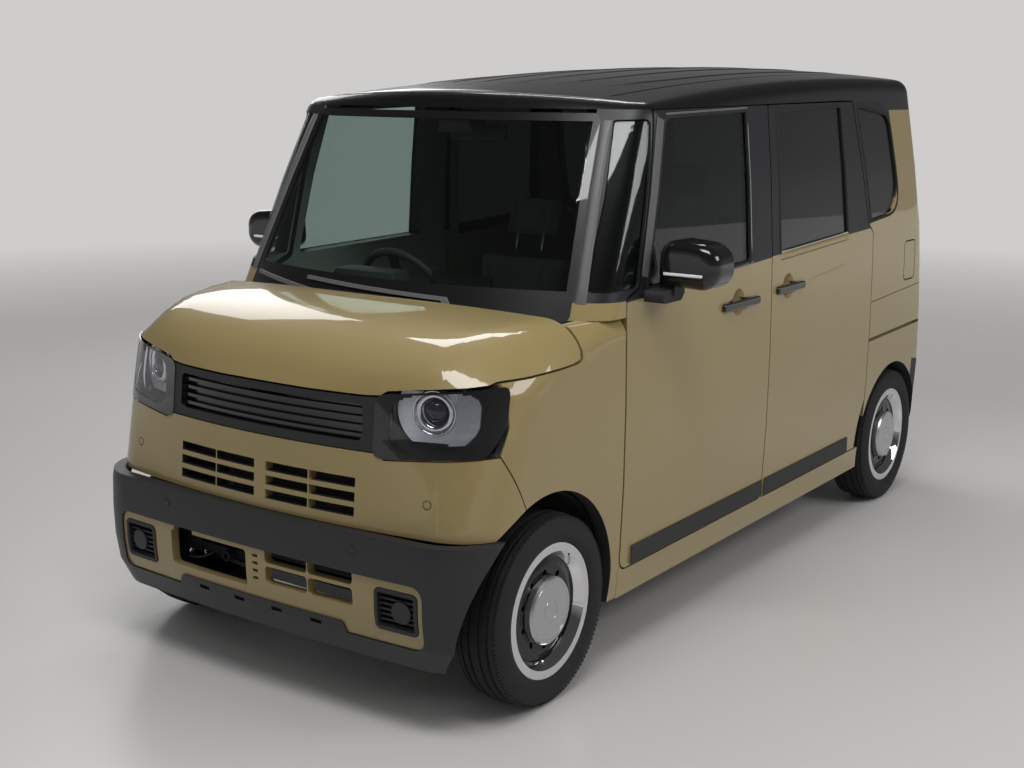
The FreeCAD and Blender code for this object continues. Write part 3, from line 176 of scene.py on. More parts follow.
REFLECTOR = Finish("reflector", (0.80, 0.81, 0.82), 0.16, metal=1.0, grain=0.0004, scale=45.0)
TAIL_RED = Finish("tail_lens", (0.30, 0.006, 0.008), 0.10, coat=1.0, grain=0.0005, scale=40.0, ribs=260.0)
AMBER = Finish("amber_lens", (0.75, 0.24, 0.02), 0.15, coat=1.0, grain=0.0002, scale=60.0, ribs=300.0)
MIRROR = Finish("mirror_glass", (0.62, 0.64, 0.66), 0.02, metal=1.0, grain=0.00001, scale=30.0)
SCREEN_BLACK = Finish("display", (0.004, 0.004, 0.005), 0.12, coat=1.0, grain=0.00001, scale=200.0)

CLEAR_LENS = Glass("clear_lens", (0.97, 0.98, 1.0))
DOOR_GLASS = Glass("door_glass", (0.66, 0.72, 0.70), 0.10)
DARK_GLASS = Glass("privacy_glass", (0.22, 0.23, 0.24), 0.55)
SCREEN_GLASS = Glass("screen_glass", (0.84, 0.90, 0.88), 0.0, (1.052, 1.634, 0.634, 0.553, 0.020, 0.085))
INK = (0.004, 0.004, 0.005, 1.0)
STUDIO_GREY = (0.62, 0.61, 0.60, 1.0)


Socket = bpy.types.NodeSocket
Value = float | bpy.types.NodeSocket


class Graph:
    """A node material under construction."""

    def __init__(self, name: str) -> None:
        """Starts the material.

        Args:
            name: Material name.
        """
        self.material = bpy.data.materials.new(name)
        self.material.use_nodes = True
        self.tree = self.material.node_tree
        self.tree.nodes.clear()
        self.output = self.tree.nodes.new("ShaderNodeOutputMaterial")
        self.place = self.tree.nodes.new("ShaderNodeTexCoord").outputs["Object"]

    def node(self, kind: str, inputs: dict | None = None, **settings) -> bpy.types.Node:
        """Adds a node.

        Args:
            kind: Node type name.
            inputs: Value or socket per input name or number.
            **settings: Attributes of the node.

        Returns:
            The new node.
        """
        made = self.tree.nodes.new(kind)
        for key, value in settings.items():
            setattr(made, key, value)
        for key, value in (inputs or {}).items():
            if isinstance(value, bpy.types.NodeSocket):
                self.tree.links.new(value, made.inputs[key])
            else:
                made.inputs[key].default_value = value
        return made

    def math(self, operation: str, a: Value, b: Value, clamp: bool = False, c: Value | None = None) -> Socket:
        """The result of one arithmetic step.

        Args:
            operation: Name of the step.
            a: First value or socket.
            b: Second value or socket.
            clamp: Whether the result is held between 0 and 1.
            c: What a product gets added, where the step adds.

        Returns:
            The socket of the result.
        """
        inputs = {0: a, 1: b} if c is None else {0: a, 1: b, 2: c}
        return self.node("ShaderNodeMath", inputs, operation=operation, use_clamp=clamp).outputs[0]

    def axes(self) -> tuple[Socket, Socket, Socket]:
        """The X, Y and Z of the shaded place."""
        return tuple(self.node("ShaderNodeSeparateXYZ", {0: self.place}).outputs)

    def opaque(self, finish: Finish) -> Socket:
        """The shader of an opaque finish, with its colour drift, roughness drift and grain.

        Args:
            finish: The finish.

        Returns:
            The shader's socket.
        """
        drift = self.node("ShaderNodeTexNoise", {"Vector": self.place, "Scale": 2.3, "Detail": 3.0})
        low = tuple(c * (1.0 - finish.tint) for c in finish.colour) + (1.0,)
        high = tuple(min(c * (1.0 + finish.tint), 1.0) for c in finish.colour) + (1.0,)
        ramp = self.node("ShaderNodeMix", {0: drift.outputs[0], 6: low, 7: high}, data_type="RGBA")
        fine = self.node("ShaderNodeTexNoise", {"Vector": self.place, "Scale": finish.scale, "Detail": 2.0})
        height = fine.outputs[0]
        if finish.weave:
            height = self._weave(finish.scale)
        if finish.ribs:
            height = self.math("ADD", height, self._wave(self.axes()[2], finish.ribs))
        bump = self.node("ShaderNodeBump", {"Strength": 1.0, "Distance": finish.grain, "Height": height})
        rough = self.math("MULTIPLY_ADD", drift.outputs[0], 0.06, True, finish.rough - 0.03)
        shader = self.node("ShaderNodeBsdfPrincipled", {
            "Base Color": ramp.outputs[2], "Roughness": rough, "Metallic": finish.metal, "Normal": bump.outputs[0],
            "Coat Weight": finish.coat, "Coat Roughness": 0.03, "Sheen Weight": finish.sheen,
            "Specular IOR Level": 0.2 if finish.coat else 0.45,
        })
        return shader.outputs[0]

    def _wave(self, along_axis: Socket, count: float) -> Socket:
        """A sine along an axis, this many times per metre."""
        return self.math("SINE", self.math("MULTIPLY", along_axis, count * 2 * math.pi), 0.0)

    def _weave(self, scale: float) -> Socket:
        """The height of a plain weave with this many threads per metre."""
        x, y, z = self.axes()
        return self.math("MULTIPLY", self._wave(x, scale), self._wave(self.math("ADD", y, z), scale))

    def glass(self, glass: Glass) -> Socket:
        """The shader of a sheet of glass, with its film and its printed border.

        Args:
            glass: The sheet.

        Returns:
            The shader's socket.
        """
        clear = self.node("ShaderNodeBsdfTransparent", {"Color": (*glass.tint, 1.0)})
        film = self.node("ShaderNodeBsdfPrincipled", {"Base Color": INK, "Roughness": 0.3})
        share = self._border(glass) if glass.border else glass.film
        body = self.node("ShaderNodeMixShader", {0: share, 1: clear.outputs[0], 2: film.outputs[0]})
        gloss = self.node("ShaderNodeBsdfGlossy", {"Roughness": 0.015})
        facing = self.node("ShaderNodeLayerWeight", {"Blend": 0.5}).outputs["Facing"]
        sheen = self.math("MULTIPLY_ADD", self.math("POWER", facing, 5.0), 0.92, False, glass.gloss)
        return self.node("ShaderNodeMixShader", {0: sheen, 1: body.outputs[0], 2: gloss.outputs[0]}).outputs[0]

    def _border(self, glass: Glass) -> Socket:
        """A mask of the printed edge of a pane.

        Args:
            glass: The pane.

        Returns:
            1 on the border, 0 inside it.
        """
        low, high, wide, narrow, margin, band = glass.border
        x, _, z = self.axes()
        slope = (narrow - wide) / (high - low)
        edge = self.math("MULTIPLY_ADD", z, slope, False, wide - low * slope - margin)
        side = self.math("MULTIPLY", self.math("SUBTRACT", self.math("ABSOLUTE", x, 0.0), edge), 900.0, True)
        foot = self.math("MULTIPLY", self.math("SUBTRACT", low + band, z), 700.0, True)
        head = self.math("MULTIPLY", self.math("SUBTRACT", z, high - margin - 0.008), 900.0, True)
        return self.math("MAXIMUM", self.math("MAXIMUM", side, foot), head)

    def beyond(self, line: Line) -> Socket:
        """A mask of the surface on one side of a line.

        Args:
            line: The line, as a, b and c of a * y + b * z = c.

        Returns:
            1 where a * y + b * z is more than c, 0 where it is less.
        """
        _, y, z = self.axes()
        total = self.math("MULTIPLY_ADD", y, line[0], False, self.math("MULTIPLY", z, line[1]))
        return self.math("MULTIPLY", self.math("SUBTRACT", total, line[2]), 4000.0, True)

    def finish(self, shader: Socket) -> bpy.types.Material:
        """Links the last shader and returns the material."""
        self.tree.links.new(shader, self.output.inputs["Surface"])
        return self.material


class Palette:
    """Makes each material once."""

    def __init__(self) -> None:
        """Starts with no material."""
        self._made: dict[str, bpy.types.Material] = {}

    def get(self, look: Finish | Glass) -> bpy.types.Material:
        """The material of a finish or a glass.

        Args:
            look: The finish or glass.

        Returns:
            Its material, the same one each time.
        """
        if look.name not in self._made:
            graph = Graph(look.name)
            shader = graph.glass(look) if isinstance(look, Glass) else graph.opaque(look)
            self._made[look.name] = graph.finish(shader)
        return self._made[look.name]

    def split(self, name: str, low: Finish, high: Finish, *lines: Line) -> bpy.types.Material:
        """Two finishes on one surface, parted by lines.

        Args:
            name: Material name.
            low: The finish on this side of any line.
            high: The finish beyond every line.
            *lines: The lines, as Graph.beyond takes them.

        Returns:
            The material.
        """
        if name not in self._made:
            graph = Graph(name)
            mask = graph.beyond(lines[0])
            for line in lines[1:]:
                mask = graph.math("MULTIPLY", mask, graph.beyond(line))
            mixed = graph.node("ShaderNodeMixShader", {0: mask, 1: graph.opaque(low), 2: graph.opaque(high)})
            self._made[name] = graph.finish(mixed.outputs[0])
        return self._made[name]


PALETTE = Palette()
Material = Finish | Glass | bpy.types.Material


def material_of(look: Material) -> bpy.types.Material:
    """The node material of a finish, a glass or a ready material."""
    return look if isinstance(look, bpy.types.Material) else PALETTE.get(look)


# ---------------------------------------------------------------- mesh tools
def body_of(node: str) -> str:
    """The body that carries a CAD node.

    Args:
        node: The CAD node.

    Returns:
        Name of the body.
    """
    for body, nodes in frame["record"]["behaviour"]["bodies"].items():
        if node in nodes:
            return body
    raise KeyError(node)


def smooth_by_angle(mesh: bpy.types.Mesh, angle: float = SEAM_SHARP) -> None:
    """Shades a mesh smooth, apart from its sharp edges.

    Args:
        mesh: The mesh.
        angle: Faces that meet at more than this keep a sharp edge.
    """
    sheet = bmesh.new()
    sheet.from_mesh(mesh)
    for face in sheet.faces:
        face.smooth = True
    for edge in sheet.edges:
        edge.smooth = len(edge.link_faces) == 2 and edge.calc_face_angle(0.0) < angle
    sheet.to_mesh(mesh)
    sheet.free()


def add_object(name: str, mesh: bpy.types.Mesh, looks: Sequence[Material], body: str) -> bpy.types.Object:
    """Links a mesh as a piece that rides on a body.

    Args:
        name: Piece name.
        mesh: Its mesh, in place.
        looks: Its finishes, by number; a mesh that brings its materials keeps them.
        body: The body it rides on.

    Returns:
        The piece.
    """
    LOG.info("piece %s on %s", name, body)
    piece = bpy.data.objects.new(name, mesh)
    bpy.context.scene.collection.objects.link(piece)
    if not mesh.materials:
        for look in looks:
            mesh.materials.append(material_of(look))
    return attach(piece, body)


def from_faces(name: str, points: Sequence[Point], faces: Sequence[Sequence[int]]) -> bpy.types.Mesh:
    """A mesh from points and faces, merged, with its faces outward.

    Args:
        name: Mesh name.
        points: Its points.
        faces: Point numbers per face.

    Returns:
        The mesh.
    """
    mesh = bpy.data.meshes.new(name)
    mesh.from_pydata([tuple(p) for p in points], [], [tuple(f) for f in faces])
    sheet = bmesh.new()
    sheet.from_mesh(mesh)
    bmesh.ops.remove_doubles(sheet, verts=sheet.verts, dist=1e-6)
    bmesh.ops.recalc_face_normals(sheet, faces=sheet.faces)
    sheet.to_mesh(mesh)
    sheet.free()
    return mesh


def grid_faces(rows: int, columns: int, wrap_rows: bool = False, wrap_columns: bool = False) -> list[list[int]]:
    """Quads between the points of a grid, row by row.

    Args:
        rows: Number of rows.
        columns: Points per row.
        wrap_rows: Whether the last row joins the first.
        wrap_columns: Whether the end of a row joins its start.

    Returns:
        Point numbers per quad.
    """
    faces = []
    for i in range(rows if wrap_rows else rows - 1):
        for j in range(columns if wrap_columns else columns - 1):
            a, b = i * columns + j, i * columns + (j + 1) % columns
            c, d = ((i + 1) % rows) * columns + (j + 1) % columns, ((i + 1) % rows) * columns + j
            faces.append([a, b, c, d])
    return faces


def panel(node: str, looks: Sequence[Material], choose: Chooser | None = None,
          angle: float = SEAM_SHARP) -> bpy.types.Object:
    """A merged, smooth-shaded copy of a CAD node that stands for it.

    Args:
        node: The CAD node.
        looks: The finishes, by number.
        choose: The finish number of a face, from its centre and normal.
        angle: Edges sharper than this stay sharp.

    Returns:
        The new piece.
    """
    source = frame["nodes"][node].data
    mesh = bpy.data.meshes.new(node + "_panel")
    mesh.from_pydata([v.co[:] for v in source.vertices], [], [p.vertices[:] for p in source.polygons])
    sheet = bmesh.new()
    sheet.from_mesh(mesh)
    bmesh.ops.remove_doubles(sheet, verts=sheet.verts, dist=2e-5)
    bmesh.ops.dissolve_degenerate(sheet, edges=sheet.edges, dist=1e-6)
    if choose is not None:
        for face in sheet.faces:
            face.material_index = choose(face.calc_center_median(), face.normal)
    sheet.to_mesh(mesh)
    sheet.free()
    smooth_by_angle(mesh, angle)
    piece = add_object(node + "_panel", mesh, looks, body_of(node))
    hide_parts(node)
    return piece


def coat(node: str, look: Material) -> None:
    """Gives a CAD node, which stays as it is, its finish.

    Args:
        node: The CAD node.
        look: Its finish.
    """
    item = frame["nodes"][node]
    if not item.material_slots:
        item.data.materials.append(material_of(look))
    for slot in item.material_slots:
        slot.material = material_of(look)


def rounded(rows: Sequence[tuple[float, float, float]], steps: int = 6) -> list[Row]:
    """An outline with its corners rounded.

    Args:
        rows: Corners as (u, v, radius).
        steps: Points per corner.

    Returns:
        The points, as (u, v).
    """
    out: list[Row] = []
    for i, (u, v, radius) in enumerate(rows):
        here = Vector((u, v))
        before = Vector(rows[i - 1][:2]) - here
        after = Vector(rows[(i + 1) % len(rows)][:2]) - here
        run = min(radius, before.length * 0.45, after.length * 0.45)
        start, end = here + before.normalized() * run, here + after.normalized() * run
        for k in range(steps + 1):
            t = k / steps
            spot = start * (1 - t) ** 2 + here * 2 * t * (1 - t) + end * t**2
            out.append((spot.x, spot.y))
    return out


def ease(mesh: bpy.types.Mesh, reach: float, longest: float = 0.035, crease: float = 0.72) -> None:
    """Evens out the shading of a pressed panel by averaging its facing over a reach.

    Args:
        mesh: The panel; its long faces are divided, its form stays.
        reach: Radius of the average.
        longest: Longest edge that is left undivided.
        crease: Facings whose dot product is less than this aren't averaged.
    """
    sheet = bmesh.new()
    sheet.from_mesh(mesh)
    bmesh.ops.triangulate(sheet, faces=sheet.faces)
    for _ in range(5):
        long_edges = [e for e in sheet.edges if e.calc_length() > longest]
        if not long_edges:
            break
        bmesh.ops.subdivide_edges(sheet, edges=long_edges, cuts=1)
        bmesh.ops.triangulate(sheet, faces=sheet.faces)
    sheet.to_mesh(mesh)
    sheet.free()
    centres = np.array([p.center for p in mesh.polygons])
    facings = np.array([p.normal for p in mesh.polygons])
    areas = np.array([p.area for p in mesh.polygons])
    tree = KDTree(len(centres))
    for i, centre in enumerate(centres):
        tree.insert(centre, i)
    tree.balance()
    eased = np.empty_like(facings)
    for i, centre in enumerate(centres):
        near = np.array([found[1] for found in tree.find_range(centre, reach)])
        alike = near[facings[near] @ facings[i] > crease]
        away = np.linalg.norm(centres[alike] - centre, axis=1)
        weight = areas[alike] * (1.0 - away / (reach * 1.001)) ** 2
        eased[i] = (facings[alike] * weight[:, None]).sum(axis=0)
    eased /= np.maximum(np.linalg.norm(eased, axis=1, keepdims=True), TINY)
    around: list[list[int]] = [[] for _ in mesh.vertices]
    for face in mesh.polygons:
        face.use_smooth = True
        for vert in face.vertices:
            around[vert].append(face.index)
    corners = []
    for face in mesh.polygons:
        for vert in face.vertices:
            near = np.array(around[vert])
            alike = near[facings[near] @ facings[face.index] > crease]
            mean = (eased[alike] * areas[alike, None]).sum(axis=0)
            corners.append(mean / max(np.linalg.norm(mean), TINY))
    mesh.normals_split_custom_set(corners)


class Skin:
    """The outer surface of some CAD nodes, for laying trims on."""

    def __init__(self, nodes: Iterable[str]) -> None:
        """Gathers the surface.

        Args:
            nodes: The CAD nodes.
        """
        points: list[Vector] = []
        faces: list[list[int]] = []
        for name in nodes:
            mesh = frame["nodes"][name].data
            start = len(points)
            points += [v.co.copy() for v in mesh.vertices]
            faces += [[start + i for i in p.vertices] for p in mesh.polygons]
        self._tree = BVHTree.FromPolygons(points, faces)

    def hit(self, origin: Point, way: Point) -> tuple[Vector, Vector]:
        """Where a ray meets the skin, or the skin's nearest place if the ray meets nothing.

        Args:
            origin: Start of the ray.
            way: Its direction.

        Returns:
            The place, and the normal there that faces the ray.
        """
        spot, normal, _, _ = self._tree.ray_cast(Vector(origin), Vector(way))
        if spot is None:
            spot, normal, _, _ = self._tree.find_nearest(Vector(origin))
        return spot, normal if normal.dot(Vector(way)) < 0 else -normal


@dataclass
class Ribbon:
    """A narrow raised trim that follows a line on a skin.

    Attributes:
        name: Piece name.
        skin: The surface it lies on.
        line: Its centre line, as ray origins off the surface.
        way: Direction of the rays towards the surface.
        width: Its width.
        height: How far its crown stands proud.
        look: Its finish.
        body: The body it rides on.
        closed: Whether the line is a loop.
        sink: How far its underside lies below the surface.
    """

    name: str
    skin: Skin
    line: Sequence[Point]
    way: Point
    width: float
    height: float
    look: Material
    body: str = "root"
    closed: bool = False
    sink: float = 0.001

    def build(self) -> bpy.types.Object:
        """Makes the piece.

        Returns:
            The piece.
        """
        crown = ((-0.5, 0.0), (-0.42, 0.72), (-0.18, 1.0), (0.18, 1.0), (0.42, 0.72), (0.5, 0.0))
        around = len(crown) + 2
        count = len(self.line)
        way = Vector(self.way).normalized()
        points: list[Vector] = []
        for i, origin in enumerate(self.line):
            if self.closed:
                ahead, behind = self.line[(i + 1) % count], self.line[i - 1]
            else:
                ahead, behind = self.line[min(i + 1, count - 1)], self.line[max(i - 1, 0)]
            across = (Vector(ahead) - Vector(behind)).cross(way).normalized()
            spot, normal = self.skin.hit(origin, self.way)
            flat = (across - normal * across.dot(normal)).normalized()
            ends = 1.0 if self.closed else min(1.0, 0.15 + i / 3, 0.15 + (count - 1 - i) / 3)
            for side, rise in crown:
                points.append(spot + flat * (side * self.width) + normal * (rise * ends * self.height))
            for side in (0.5, -0.5):
                points.append(spot + flat * (side * self.width) - normal * self.sink)
        faces = grid_faces(count, around, wrap_rows=self.closed, wrap_columns=True)
        if not self.closed:
            faces += [list(range(around)), [(count - 1) * around + i for i in range(around)]]
        mesh = from_faces(self.name, points, faces)
        smooth_by_angle(mesh, math.radians(50.0))
        return add_object(self.name, mesh, [self.look], self.body)


def along(points: Sequence[Point], step: float = 0.02, closed: bool = False) -> list[Point]:
    """Points at about even steps along a polyline.

    Args:
        points: Its corners.
        step: Length of a step.
        closed: Whether it is a loop.

    Returns:
        The points.
    """
    out: list[Point] = []
    ends = list(points[1:]) + ([points[0]] if closed else [])
    for a, b in zip(points, ends):
        a, b = Vector(a), Vector(b)
        count = max(1, round((b - a).length / step))
        out += [tuple(a.lerp(b, k / count)) for k in range(count)]
    if not closed:
        out.append(tuple(points[-1]))
    return out


def sheet_mesh(name: str, sheet: bmesh.types.BMesh) -> bpy.types.Mesh:
    """Turns an edited sheet into a mesh and frees it.

    Args:
        name: Mesh name.
        sheet: The sheet.

    Returns:
        The mesh.
    """
    mesh = bpy.data.meshes.new(name)
    sheet.to_mesh(mesh)
    sheet.free()
    return mesh


def soft_block(name: str, size: Point, bevel: float, body: str, look: Material, place: Matrix,
               taper: float = 0.0) -> bpy.types.Object:
    """A moulded block: bevelled, tapered towards its top and subdivided.

    Args:
        name: Piece name.
        size: Its size before it is placed.
        bevel: Width of its rounded edges.
        body: The body it rides on.
        look: Its finish.
        place: Its place in the frame.
        taper: Share by which its top is smaller.

    Returns:
        The piece.
    """
    sheet = bmesh.new()
    bmesh.ops.create_cube(sheet, size=1.0)
    for vert in sheet.verts:
        share = 1.0 - taper if vert.co.z > 0 else 1.0
        vert.co = Vector((vert.co.x * size[0] * share, vert.co.y * size[1] * share, vert.co.z * size[2]))
    bmesh.ops.bevel(sheet, geom=list(sheet.edges), offset=bevel, segments=2, profile=0.6, affect="EDGES")
    bmesh.ops.subdivide_edges(sheet, edges=list(sheet.edges), cuts=1, use_grid_fill=True)
    bmesh.ops.transform(sheet, matrix=place, verts=sheet.verts)
    bmesh.ops.recalc_face_normals(sheet, faces=sheet.faces)
    mesh = sheet_mesh(name, sheet)
    smooth_by_angle(mesh, EDGE_SHARP)
    return add_object(name, mesh, [look], body)


def facing(spot: Point, way: Point) -> Matrix:
    """The place that turns X towards a way, at a spot."""
    return Matrix.Translation(spot) @ Vector(way).to_track_quat("X", "Z").to_matrix().to_4x4()


def turned(name: str, rows: Sequence[Row], segments: int) -> bpy.types.Mesh:
    """A solid of revolution about X.

    Args:
        name: Mesh name.
        rows: Its closed profile, as (x, radius).
        segments: How many segments go round.

    Returns:
        The mesh.
    """
    points = []
    for i in range(segments):
        a = 2 * math.pi * i / segments
        points += [(x, r * math.cos(a), r * math.sin(a)) for x, r in rows]
    return from_faces(name, points, grid_faces(segments, len(rows), wrap_rows=True, wrap_columns=True))


def turned_piece(name: str, rows: Sequence[Row], segments: int, place: Matrix, look: Material,
                 body: str = "root", angle: float | None = EDGE_SHARP) -> bpy.types.Object:
    """A turned solid as a piece.

    Args:
        name: Piece name.
        rows: Its closed profile, as (x, radius).
        segments: How many segments go round.
        place: Its place in the frame.
        look: Its finish.
        body: The body it rides on.
        angle: Edges sharper than this stay sharp; None leaves its faces flat.

    Returns:
        The piece.
    """
    mesh = turned(name, rows, segments)
    mesh.transform(place)
    if place.determinant() < 0:
        mesh.flip_normals()
    if angle is not None:
        smooth_by_angle(mesh, angle)
    return add_object(name, mesh, [look], body)


# ---------------------------------------------------------------- rings of like pieces
class RingMaker:
    """Geometry Nodes group that sets copies of one item round an axis along X."""

    SOCKETS = (("Item", "NodeSocketObject"), ("Count", "NodeSocketInt"), ("Radius", "NodeSocketFloat"),
               ("Centre", "NodeSocketVector"), ("Look", "NodeSocketMaterial"))

    def __init__(self) -> None:
        """Makes the group with its sockets."""
        self.group = bpy.data.node_groups.new("ring_of_items", "GeometryNodeTree")
        face = self.group.interface
        face.new_socket("Geometry", in_out="INPUT", socket_type="NodeSocketGeometry")
        face.new_socket("Geometry", in_out="OUTPUT", socket_type="NodeSocketGeometry")
        for name, kind in self.SOCKETS:
            face.new_socket(name, in_out="INPUT", socket_type=kind)
        self._wire()

    def _wire(self) -> None:
        """Adds the group's nodes and links them."""
        nodes, link = self.group.nodes, self.group.links.new
        given, result = nodes.new("NodeGroupInput"), nodes.new("NodeGroupOutput")
        circle, points = nodes.new("GeometryNodeCurvePrimitiveCircle"), nodes.new("GeometryNodeCurveToPoints")
        item, copies = nodes.new("GeometryNodeObjectInfo"), nodes.new("GeometryNodeInstanceOnPoints")
        turn, real = nodes.new("GeometryNodeTransform"), nodes.new("GeometryNodeRealizeInstances")
        paint = nodes.new("GeometryNodeSetMaterial")
        circle.inputs["Resolution"].default_value = 128
        turn.inputs["Rotation"].default_value = (0.0, math.pi / 2, 0.0)
        link(given.outputs["Radius"], circle.inputs["Radius"])
        link(circle.outputs["Curve"], points.inputs["Curve"])
        link(given.outputs["Count"], points.inputs["Count"])
        link(given.outputs["Item"], item.inputs["Object"])
        link(points.outputs["Points"], copies.inputs["Points"])
        link(points.outputs["Rotation"], copies.inputs["Rotation"])
        link(item.outputs["Geometry"], copies.inputs["Instance"])
        link(copies.outputs["Instances"], turn.inputs["Geometry"])
        link(given.outputs["Centre"], turn.inputs["Translation"])
        link(turn.outputs["Geometry"], real.inputs["Geometry"])
        link(real.outputs["Geometry"], paint.inputs["Geometry"])
        link(given.outputs["Look"], paint.inputs["Material"])
        link(paint.outputs["Geometry"], result.inputs["Geometry"])

    def build(self, name: str, item: bpy.types.Mesh, count: int, radius: float, centre: Point,
              look: Material, body: str) -> bpy.types.Object:
        """Makes a ring as one plain mesh.

        Args:
            name: Piece name.
            item: The repeated mesh; its X runs outward, its Y along the axis and its Z round the ring.
            count: How many copies.
            radius: Radius of the ring.
            centre: Its centre.
            look: Its finish.
            body: The body it rides on.

        Returns:
            The piece.
        """
        pattern = bpy.data.objects.new(name + "_item", item)
        carrier = bpy.data.objects.new(name + "_carrier", bpy.data.meshes.new(name + "_carrier"))
        for thing in (pattern, carrier):
            bpy.context.scene.collection.objects.link(thing)
        maker = carrier.modifiers.new("ring", "NODES")
        maker.node_group = self.group
        values = {"Item": pattern, "Count": count, "Radius": radius, "Centre": centre, "Look": material_of(look)}
        for socket in self.group.interface.items_tree:
            if socket.in_out == "INPUT" and socket.name in values:
                maker[socket.identifier] = values[socket.name]
        bpy.context.view_layer.update()
        made = bpy.data.meshes.new_from_object(carrier.evaluated_get(bpy.context.evaluated_depsgraph_get()))
        for thing in (carrier, pattern):
            bpy.data.objects.remove(thing)
        made.name = name
        smooth_by_angle(made, math.radians(35.0))
        return add_object(name, made, [look], body)


# ---------------------------------------------------------------- body panels
@dataclass
class Shell:
    """The painted body: panels with their two-tone split, roof, sills and inner linings.

    Attributes:
        doors: Stem, line between the two tones, and handle (front y, rear y, z) of each door.
        screen_pillar: Where the dark pillar starts above the paint.
        rear_pillar: Lines that bound the dark part behind the door.
        roof_top: Height of the roof.
        ridge_x: Where the pressed ridges of the roof run.
        front_arch: Radius within which the front arch shows its coated inside.
        rear_arch: The same at the rear.
    """

    doors: tuple = (("front_door_", (-0.040, 1.0, 1.1385), (-0.324, -0.058, 1.011)),
                    ("sliding_door_", (-0.030, 1.0, 1.1417), (0.077, 0.303, 1.022)))
    screen_pillar: Line = (0.0, 1.0, 1.1075)
    rear_pillar: tuple[Line, ...] = ((-0.150, 1.0, 1.049), (-1.0, -0.277, -1.5845), (-1.083, 1.0, -0.013))
    roof_top: float = 1.780
    ridge_x: tuple[float, ...] = (-0.42, -0.25, -0.085, 0.085, 0.25, 0.42)
    front_arch: float = 0.352
    rear_arch: float = 0.320

    def build(self) -> None:
        """Dresses every body panel."""
        for name in ("front_fender_left", "front_fender_right", "front_bumper", "fuel_lid"):
            panel(name, [BODY, UNDER], self._outer_only)
        ease(panel("hood", [BODY, UNDER], self._outer_only).data, 0.110, crease=0.62)
        self._doors()
        self._side_frames()
        self._roof()
        self._rear()

    def _outer_only(self, centre: Vector, normal: Vector) -> int:
        """0 on the outside of a front panel, 1 on its inside and in the arch.

        Args:
            centre: Middle of a face.
            normal: Its facing.

        Returns:
            Number of the finish.
        """
        if math.hypot(centre.y - FRONT_AXLE, centre.z - TYRE_RADIUS) < self.front_arch and abs(normal.x) < 0.75:
            return 1
        out = Vector((centre.x * 0.9, centre.y + 0.3 if centre.y < -0.9 else 0.0, centre.z - 0.7))
        return 0 if normal.dot(out) > -0.02 else 1

    def _doors(self) -> None:
        """Paint, lining, handle and sill strip of the four doors."""
        for side in Side:
            for node, belt, handle in self.doors:
                two_tone = PALETTE.split(node + "paint", BODY, PILLAR, belt)
                panel(node + side.label, [two_tone, CABIN, PIANO, TRIM], partial(self._door_part, side, handle))

    @staticmethod
    def _door_part(side: Side, handle: Point, centre: Vector, normal: Vector) -> int:
        """0 on a door's paint, 1 on its lining, 2 on its handle, 3 on its sill strip.

        Args:
            side: The door's side.
            handle: Front y, rear y and z of its handle.
            centre: Middle of a face.
            normal: Its facing.

        Returns:
            Number of the finish.
        """
        out = centre.x * side.value
        beside = handle[0] < centre.y < handle[1]
        if beside and abs(centre.z - handle[2]) < 0.0185 and out > HALF_WIDTH - 0.0135:
            return 2
        if centre.z < 0.361 and out > HALF_WIDTH - 0.0095 and abs(normal.x) > 0.2:
            return 3
        if normal.x * side.value < -0.25 or out < HALF_WIDTH - 0.14:
            return 1
        return 0

    def _frame_part(self, side: Side, centre: Vector, normal: Vector) -> int:
        """0 on a side frame's paint, 1 on its lining, 2 on the screen pillar, 3 in the rear arch.

        Args:
            side: The frame's side.
            centre: Middle of a face.
            normal: Its facing.

        Returns:
            Number of the finish.
        """
        if normal.x * side.value < -0.25 or centre.x * side.value < HALF_WIDTH - 0.22:
            return 1
        if math.hypot(centre.y - REAR_AXLE, centre.z - TYRE_RADIUS) < self.rear_arch and abs(normal.x) < 0.6:
            return 3
        return 2 if centre.y < -0.6 else 0

    def _side_frames(self) -> None:
        """The side frames, and the crease behind the door."""
        ahead = PALETTE.split("screen_pillar_paint", BODY, PILLAR, self.screen_pillar)
        behind = PALETTE.split("rear_pillar_paint", BODY, PILLAR, *self.rear_pillar)
        for side in Side:
            panel("side_frame_" + side.label, [behind, CABIN, ahead, UNDER], partial(self._frame_part, side))
            crease = Skin(["sliding_door_" + side.label, "side_frame_" + side.label, "fuel_lid"])
            line = [(side.value * 0.9, y, 1.026 + (y - 0.34) * 0.0785) for y in np.linspace(0.34, 0.70, 14)]
            Ribbon("door_crease_" + side.label, crease, line, (-side.value, 0, 0), 0.010, 0.0009, BODY).build()

    def _roof(self) -> None:
        """The roof with its ridges and the line of its header."""
        panel("roof_panel", [ROOF, CABIN], lambda centre, normal: int(normal.z < -0.3), FOLD_SHARP)
        skin, above = Skin(["roof_panel"]), self.roof_top + 0.08
        for i, x in enumerate(self.ridge_x):
            start = -0.56 + 0.10 * (x / 0.42) ** 2
            line = [(x * (0.93 + 0.07 * min(1.0, (y - start) * 3)), y, above) for y in np.arange(start, 1.22, 0.03)]
            Ribbon(f"roof_ridge_{i + 1}", skin, line, (0, 0, -1), 0.030, 0.0022, ROOF).build()
        header = [(x, -0.815 + 0.075 * (x / 0.56) ** 2, above) for x in np.linspace(-0.54, 0.54, 60)]
        Ribbon("header_line", skin, header, (0, 0, -1), 0.005, 0.0015, SATIN).build()

    @staticmethod
    def _inside(centre: Vector, normal: Vector) -> int:
        """1 on the inside of a rear panel, 0 on its outside."""
        return int(normal.y < -0.25 or centre.y < 1.40)

